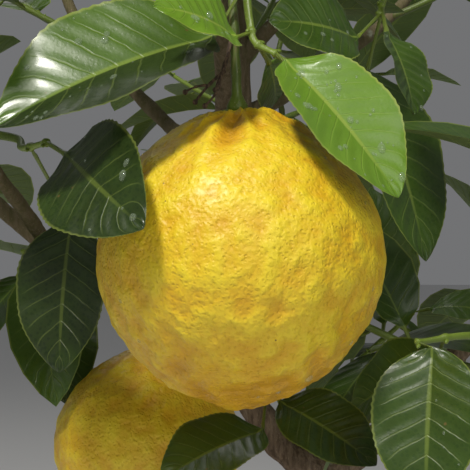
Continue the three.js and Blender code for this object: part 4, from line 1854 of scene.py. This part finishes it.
@dataclass(frozen=True)
class Shoot:
    """A leafy shoot: its limb, its place there, its direction, its length and its leaves."""

    number: int
    limb: str
    share: float
    azimuth: float
    rise: float
    length: float
    leaves: int

    @property
    def name(self) -> str:
        """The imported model's name for the shoot."""
        return f"leafy_shoot_{self.number:02d}"

    @property
    def phase(self) -> int:
        """Where the shoot's choices start."""
        return (self.number - 1) * 53

    def leaf(self, twig: Twig, i: int, attempt: int) -> Leaf:
        """The shoot's i-th leaf, turned round the twig by one of its tries.

        Args:
            twig: The twig it grows on.
            i: Its number.
            attempt: Which of the tries.

        Returns:
            The leaf.
        """
        seed = i + self.phase
        last = i == self.leaves - 1
        share = FIRST_LEAF + (1 - FIRST_LEAF) * (i + 1) / self.leaves
        along = tangent(twig.point, share)
        hint = Vector((0, 0, 1)) if abs(along.z) < 0.93 else Vector((0, 1, 0))
        side = along.cross(hint).normalized()
        front = side.cross(along)
        turn = math.radians(self.phase + i * GOLDEN + TRIES[attempt])
        out = side * math.cos(turn) + front * math.sin(turn)
        heading = out + along * (1.5 if last else 0.55 + 0.5 * vary(seed, 1))
        heading.z -= 0.22 + 0.3 * vary(seed, 2)
        heading.normalize()
        light = Vector((0, 0, 1)) + out * 0.35 + aim(self.azimuth, 0) * 0.55
        up = (light - heading * light.dot(heading)).normalized()
        length = LEAF_LENGTH * (0.74 + 0.38 * vary(seed, 3)) * (0.8 if last else 1)
        stem = twig.point(share)
        return Leaf(
            stem=stem,
            base=stem + heading * LEAF_STALK,
            heading=heading,
            up=up,
            length=length,
            width=length * LEAF_SLENDER * (0.9 + 0.2 * vary(seed, 4)),
            fold=LEAF_FOLD * (0.4 + 0.9 * vary(seed, 5)),
            droop=LEAF_DROOP * (0.5 + 1.1 * vary(seed, 6)),
            twist=0.7 * (vary(seed, 7) - 0.5),
        )

    def grown(self) -> tuple[Twig, list[tuple[int, Leaf]]]:
        """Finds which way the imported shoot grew, and which of its leaves it has.

        Returns:
            The twig, and each leaf with its number.
        """
        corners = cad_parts[self.name].data.vertices
        tree = KDTree(len(corners))
        for corner in corners:
            tree.insert(corner.co, corner.index)
        tree.balance()
        root = LIMBS[self.limb].point(self.share)
        best: tuple[Twig, list[tuple[int, Leaf]]] | None = None
        for lift in LIFTS:
            for turn in TRIES:
                way = aim(self.azimuth + turn, self.rise + lift)
                twig = Twig(root, way, self.length * MM)
                found = self.found(twig, tree)
                if best is None or len(found) > len(best[1]):
                    best = (twig, found)
                if len(found) > self.leaves / 2:
                    return best
        return best

    def found(self, twig: Twig, tree: KDTree) -> list[tuple[int, Leaf]]:
        """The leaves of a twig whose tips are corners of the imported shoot, with their numbers.

        Args:
            twig: The twig, as it may have grown.
            tree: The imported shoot's corners.

        Returns:
            Each leaf's number and the leaf.
        """
        leaves = []
        for i in range(self.leaves):
            for attempt in range(len(TRIES)):
                leaf = self.leaf(twig, i, attempt)
                if tree.find(leaf.tip())[2] < SAME_PLACE:
                    leaves.append((i, leaf))
                    break
        return leaves

    def make(self, finishes: Finishes) -> None:
        """Makes the shoot: its twig, leaves, buds and swollen joints.

        Args:
            finishes: The tree's materials.
        """
        twig, leaves = self.grown()
        piece = Piece(f"{self.name}_foliage")
        joints = [FIRST_LEAF + (1 - FIRST_LEAF) * (i + 1) / self.leaves for i, _ in leaves]
        line = [twig.point(share) for share in evenly(14)]
        radii = twig_radii(14, joints, (0.45, 0.03), (0.5, 0.06))

        def corky(_: float, share: float) -> float:
            """Brown at the limb and green at the tip."""
            return 0.75 * (1 - share) ** 1.5

        wood = FoliageSlot.WOOD.value
        piece.tube(line, radii, 8, corky, wood)
        for i, leaf in leaves:
            young = i / max(1, self.leaves - 1)
            tone = 0.14 + 0.20 * vary(i + self.phase, 8) + 0.34 * young**3
            LeafSkin(leaf, FAR_BLADE, tone, vary(i + self.phase, 9)).grow(piece)
            bud = leaf.stem + (leaf.heading + leaf.up).normalized() * 2.3 * MM
            turn = leaf.up.to_track_quat("Z", "Y")
            piece.ball(bud, mm(0.8, 0.8, 1.4), turn, 1, 0.1, wood)
        piece.finish(finishes.foliage(), "leaf", [self.name])
        if len(leaves) < self.leaves:
            log.info("%s has %d of its %d leaves", self.name, len(leaves), self.leaves)


SHOOTS = tuple(
    Shoot(i + 1, *row)
    for i, row in enumerate((
        ("top", 1.0, 80, 76, 74, 7),
        ("top", 0.78, 205, 34, 92, 7),
        ("top", 0.7, 335, 38, 92, 7),
        ("top", 0.86, 282, 30, 84, 6),
        ("top", 0.6, 95, 34, 96, 6),
        ("right", 0.93, 350, 52, 82, 7),
        ("right", 0.86, 40, 30, 92, 7),
        ("right", 0.72, 300, 22, 86, 6),
        ("right", 0.52, 62, 34, 92, 6),
        ("left", 1.0, 160, 62, 82, 7),
        ("left", 0.84, 238, 30, 92, 7),
        ("left", 0.66, 132, 26, 92, 6),
        ("left", 0.46, 262, -4, 96, 8),
        ("front", 0.5, 225, 44, 90, 7),
        ("front", 0.6, 320, 40, 90, 7),
        ("front", 0.76, 262, 58, 66, 6),
        ("back", 0.92, 60, 60, 84, 7),
        ("back", 0.74, 140, 16, 92, 7),
        ("back", 0.7, 30, 16, 92, 7),
        ("back", 0.42, 100, -6, 84, 6),
        ("backLeft", 1.0, 120, 62, 80, 7),
        ("backLeft", 0.66, 186, 22, 92, 6),
        ("backRight", 1.0, 40, 58, 80, 7),
        ("backRight", 0.66, 350, 20, 92, 6),
        ("frontRight", 1.0, 300, 52, 78, 7),
        ("lowRight", 1.0, 270, 40, 84, 7),
        ("lowRight", 0.42, 180, 16, 98, 8),
        ("sideLeft", 1.0, 230, 44, 78, 7),
        ("sideLeft", 0.55, 190, 0, 90, 8),
        ("leader", 0.5, 305, 30, 96, 8),
    ))
)


# ---------------------------------------------------------------- round the front lemon
@dataclass(frozen=True)
class NearLeaf:
    """A leaf beside the front lemon. Places are millimetres from the lemon's centre."""

    name: str
    twig: str
    at: float
    base: tuple[float, float, float]
    tip: tuple[float, float, float]
    facing: tuple[float, float, float]
    width: float
    fold: float
    droop: float
    tone: float
    drops: int = 0
    # Painted shade: how far the tone drops on the leaf's lower half.
    lower: float = 0.0


NEAR_TWIGS = {
    "twig_front": Spline((
        LIMBS["front"].point(0.93), near(2, -2, 112), near(4, -10, 96), near(6, -14, 87),
        near(14, -16, 82),
    )),
    "twig_left": Spline((
        LIMBS["sideLeft"].point(0.8), near(-98, 44, 52), near(-93, 24, 47), near(-80, 4, 48),
    )),
    "twig_upper": Spline((
        LIMBS["frontRight"].point(0.7), near(70, 60, 128), near(64, 46, 116), near(61, 36, 106),
    )),
    "twig_right": Spline((
        LIMBS["lowRight"].point(0.74), near(112, 20, -34), near(92, 4, -32), near(72, -4, -34),
    )),
    "twig_low": Spline((
        LIMBS["lowLeft"].point(0.45), near(-4, 96, -24), near(8, 70, -44), near(14, 46, -58),
    )),
}

# Each leaf's name, its twig and place on it, its blade's base, tip and facing, its width, fold,
# droop and tone, its drops of water, and how far painted shade darkens its lower half's tone.
NEAR_LEAVES = (
    # Painted shade darkens this leaf's lower half.
    NearLeaf("leaf_upper_left", "twig_front", 0.25, (-11, -4, 90),
             (-94, -36, 51), (-0.2, -0.72, 0.66), 66, 0.4, 0.42, 0.46, 26, -0.5),
    NearLeaf("leaf_young", "twig_front", 0.62, (-2, -19, 88),
             (-33, -44, 96), (0.1, -0.75, 0.66), 36, 0.3, 0.6, 0.86, 8),
    NearLeaf("leaf_right", "twig_front", 1, (18, -16, 79),
             (61, -36, 24), (0.5, -0.85, 0.25), 47, 0.42, 0.35, 0.80, 40),
    NearLeaf("leaf_small", "twig_front", 0.8, (12, -2, 80),
             (15, 24, 66), (0.1, -0.9, 0.3), 25, 0.2, 0.3, 0.42),
    NearLeaf("leaf_left", "twig_left", 1, (-70, -8, 42),
             (-35, -66, 12), (-0.58, -0.53, 0.46), 48, 0.2, 0.5, 0.06, 8),
    NearLeaf("leaf_far_left", "twig_left", 0.8, (-74, 40, 16),
             (-78, 30, -50), (-0.3, -0.9, 0.2), 44, 0.2, 0.3, 0.06),
    NearLeaf("leaf_upper_right", "twig_upper", 1, (50, 26, 94),
             (12, 4, 98), (0.1, -0.8, 0.5), 40, 0.2, 0.6, 0.24, 6),
    NearLeaf("leaf_edge", "twig_upper", 0.85, (63, 24, 96),
             (73, 12, 60), (0.7, -0.5, 0.5), 34, 0.3, 0.4, 0.3, 6),
    NearLeaf("leaf_behind_right", "twig_upper", 0.5, (58, 62, 84),
             (82, 40, -2), (0.5, -0.8, 0.4), 46, 0.25, 0.3, 0.25),
    NearLeaf("leaf_low_right", "twig_right", 1, (78, -8, -36),
             (73, -24, -98), (-0.35, -0.9, 0.2), 46, 0.25, 0.35, 0.2, 8),
    NearLeaf("leaf_under_right", "twig_right", 0.8, (86, 34, -44),
             (50, 60, -72), (-0.2, -0.7, 0.7), 40, 0.2, 0.4, 0.35),
    NearLeaf("leaf_under", "twig_low", 1, (18, 40, -64),
             (58, 18, -88), (0.1, -0.7, 0.6), 35, 0.2, 0.4, 0.16),
    NearLeaf("leaf_low_left", "twig_low", 0.92, (10, 36, -76),
             (-33, 10, -93), (0.1, -0.45, 0.9), 38, 0.25, 0.4, 0.3),
)

# Drops on the front lemon: to the right of and over its centre, and their radius, in millimetres.
PEEL_DROPS = (
    (26, -47, 1.7), (44, -34, 1.0), (52, -12, 0.9), (-40, -30, 0.8), (14, -52, 1.0),
    (50, 22, 0.7), (-22, 44, 0.6), (34, 40, 0.7), (-46, -14, 0.7), (6, -54, 0.8),
)


class NearFoliage:
    """The twigs, leaves, dry flower stalk and water drops round the front lemon."""

    def __init__(self, finishes: Finishes) -> None:
        """Keeps the finishes and starts the water drops.

        Args:
            finishes: The tree's materials.
        """
        self.finishes = finishes
        self.draw = random.Random(17)
        self.water = Piece("water_drops")

    def make_twigs(self) -> None:
        """Makes the five twigs, with their joints, buds and ridges."""
        def angular(around: float, share: float) -> float:
            """Three ridges that turn slowly round the twig."""
            return 1 + 0.09 * math.cos(TAU * 3 * around + share * 5)

        def corky(_: float, share: float) -> float:
            """Brown at the limb and green at the tip."""
            return 0.7 * (1 - share) ** 1.6

        for name, spline in NEAR_TWIGS.items():
            joints = [leaf.at for leaf in NEAR_LEAVES if leaf.twig == name]
            line = [spline.point(share) for share in evenly(60)]
            radii = twig_radii(60, joints, (0.7, 0.022), (0.8, 0.04))
            piece = Piece(f"{name}_wood")
            piece.tube(line, radii, 18, corky, 0, angular)
            for joint in joints:
                place = spline.point(joint)
                way = tangent(spline.point, joint)
                off = way.orthogonal().normalized()
                turn = (way + off).to_track_quat("Z", "Y")
                piece.ball(place + off * 2.0 * MM, mm(0.9, 0.9, 1.7), turn, 2, 0.1)
            piece.finish([self.finishes.green_wood], "green_wood", [name])

    def make_leaves(self) -> None:
        """Makes the thirteen nearest leaves and lays water drops on them."""
        for i, row in enumerate(NEAR_LEAVES):
            leaf = Leaf.between(
                NEAR_TWIGS[row.twig].point(row.at), near(*row.base), near(*row.tip),
                Vector(row.facing), row.width, row.fold, row.droop,
            )
            skin = LeafSkin(leaf, NEAR_BLADE, row.tone, vary(i, 3), row.lower)
            piece = Piece(f"{row.name}_blade")
            skin.grow(piece)
            piece.finish(self.finishes.foliage()[:2], "leaf", [row.name])
            for _ in range(row.drops):
                self.wet(skin)

    def wet(self, skin: LeafSkin) -> None:
        """Lays one drop of water on a leaf's upper face.

        Args:
            skin: The leaf's skin.
        """
        share = self.draw.uniform(0.1, 0.92)
        across = self.draw.uniform(-0.9, 0.9)
        near_by = 0.02
        place = skin.top(share, across)
        beside = skin.top(share, across + near_by) - place
        ahead = skin.top(share + near_by, across) - place
        over = beside.cross(ahead).normalized()
        if over.dot(skin.leaf.axes(share)[2]) < 0:
            over.negate()
        size = 0.45 + 1.35 * self.draw.random() ** 2.6
        self.drop(place, over, size, self.draw.uniform(0.9, 1.5))

    def drop(self, place: Vector, over: Vector, size: float, long: float) -> None:
        """Adds one drop.

        Args:
            place: Where it sits.
            over: The way off the surface.
            size: Its radius in millimetres.
            long: How much longer it is one way.
        """
        turn = over.to_track_quat("Z", "Y")
        self.water.ball(place, mm(size, size * long, size * 0.62), turn, 3, 0.0)

    def make_drops(self) -> None:
        """Lays the drops on the front lemon and finishes the water."""
        lemon = LEMONS[0]
        radius = lemon.diameter / 2
        for x, z, size in PEEL_DROPS:
            depth = math.sqrt(max(1.0, radius**2 - x * x - z * z))
            way = Vector((x, -depth, z)).normalized()
            place, _ = lemon.skin(way)
            self.drop(lemon.turn @ place + lemon.centre, lemon.turn @ way, size, 1.25)
        self.water.finish([self.finishes.water], "leaf")

    def make_dry_stalk(self) -> None:
        """Makes the dry, forked flower stalk beside the fruit's stalk."""
        piece = Piece("dry_flower_stalk")
        root = LEMONS[0].stalk_point(0.42)
        forks = (
            (root, near(-6, -8, 76), near(-10, -12, 68), 0.9),
            (near(-6, -8, 76), near(-12, -10, 72), near(-18, -13, 63), 0.7),
            (near(-8, -10, 71), near(-9, -14, 66), near(-14, -18, 61), 0.6),
            (near(-13, -11, 70), near(-18, -12, 70), near(-22, -13, 67), 0.5),
        )
        for start, middle, end, radius in forks:
            line = [arc(start, middle, end, share) for share in evenly(8)]
            radii = []
            for share in evenly(8):
                knots = 0.25 * bump((share * 3) % 1 - 0.5, 0.2)
                radii.append((radius * (1 - 0.4 * share) + knots) * MM)
            piece.tube(line, radii, 10)
            piece.ball(end, mm(1.1, 0.9, 1.2), Quaternion(), 2, 0.5)
        piece.finish([self.finishes.dead_wood], "green_wood")


# ---------------------------------------------------------------- studio
@dataclass(frozen=True)
class Lamp:
    """A square soft light that shines at the front lemon.

    Its place, from that lemon, and its side are in metres, and its power in watts.
    """

    name: str
    place: tuple[float, float, float]
    side: float
    power: float
    colour: Colour

    def make(self) -> None:
        """Sets it up."""
        light = bpy.data.lights.new(self.name, "AREA")
        light.energy = self.power
        light.size = self.side
        light.color = self.colour
        place = Vector(self.place)
        made = bpy.data.objects.new(self.name, light)
        made.location = FRONT + place
        made.rotation_euler = (-place).to_track_quat("-Z", "Y").to_euler()
        bpy.context.scene.collection.objects.link(made)


LAMPS = (
    Lamp("key", (-0.66, -1.34, 2.10), 0.36, 55, (1.0, 0.965, 0.90)),
    Lamp("fill", (0.9, -2.1, 1.0), 1.3, 13, (1.0, 0.99, 0.96)),
    Lamp("back", (-0.9, 2.3, 2.2), 1.4, 10, (1.0, 0.98, 0.95)),
)


@dataclass(frozen=True)
class Studio:
    """The floor, the lights and the camera, which looks level along +Y. Sizes are in metres."""

    place: tuple[float, float, float] = (-0.00202, -0.563, 0.0097)
    lens: float = 105
    sensor: float = 36
    nearest: float = 0.01
    furthest: float = 100
    floor_radius: float = 14
    air: Colour = (0.92, 0.93, 0.95)
    air_strength: float = 0.18

    def make_floor(self) -> None:
        """Lays the floor."""
        bm = bmesh.new()
        bmesh.ops.create_circle(bm, cap_ends=True, segments=96, radius=self.floor_radius)
        mesh = bpy.data.meshes.new("floor")
        bm.to_mesh(mesh)
        bm.free()
        floor = bpy.data.objects.new("floor", mesh)
        bpy.context.scene.collection.objects.link(floor)
        mesh.materials.append(FloorFinish().make())
        floor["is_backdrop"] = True

    def make_lights(self) -> None:
        """Sets up the lamps and the pale surroundings."""
        for lamp in LAMPS:
            lamp.make()
        world = bpy.data.worlds.new("studio")
        bpy.context.scene.world = world
        world.use_nodes = True
        background = next(n for n in world.node_tree.nodes if n.type == "BACKGROUND")
        background.inputs["Color"].default_value = filled(self.air)
        background.inputs["Strength"].default_value = self.air_strength

    def make_camera(self) -> None:
        """Stands the camera in front of the front lemon."""
        camera = bpy.data.cameras.new("camera")
        camera.lens = self.lens
        camera.sensor_width = self.sensor
        camera.clip_start = self.nearest
        camera.clip_end = self.furthest
        made = bpy.data.objects.new("camera", camera)
        made.location = FRONT + Vector(self.place)
        made.rotation_euler = (math.radians(90), 0, 0)
        bpy.context.scene.collection.objects.link(made)
        bpy.context.scene.camera = made
        bpy.context.scene.view_settings.view_transform = "Standard"


def write_sizes() -> None:
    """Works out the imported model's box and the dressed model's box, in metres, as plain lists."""
    boxes = {"cad": CAD_BOX, "visual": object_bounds()}
    plain = {name: [list(corner) for corner in box] for name, box in boxes.items()}


def main() -> None:
    """Builds the tree and the studio."""
    logging.basicConfig(level=logging.INFO, format="%(name)s %(message)s")
    studio = Studio()
    studio.make_camera()
    studio.make_lights()
    studio.make_floor()
    finishes = Finishes.make()
    HOLDER.make_saucer(finishes)
    HOLDER.make_pot(finishes)
    HOLDER.make_soil(finishes)
    HOLDER.make_crumbs(finishes)
    Wood().make(finishes)
    for lemon in LEMONS:
        lemon.make_fruit(finishes)
        lemon.make_stalk(finishes)
    around = NearFoliage(finishes)
    around.make_twigs()
    around.make_leaves()
    around.make_drops()
    around.make_dry_stalk()
    for shoot in SHOOTS:
        shoot.make(finishes)
    write_sizes()


if __name__ == "__main__":
    main()
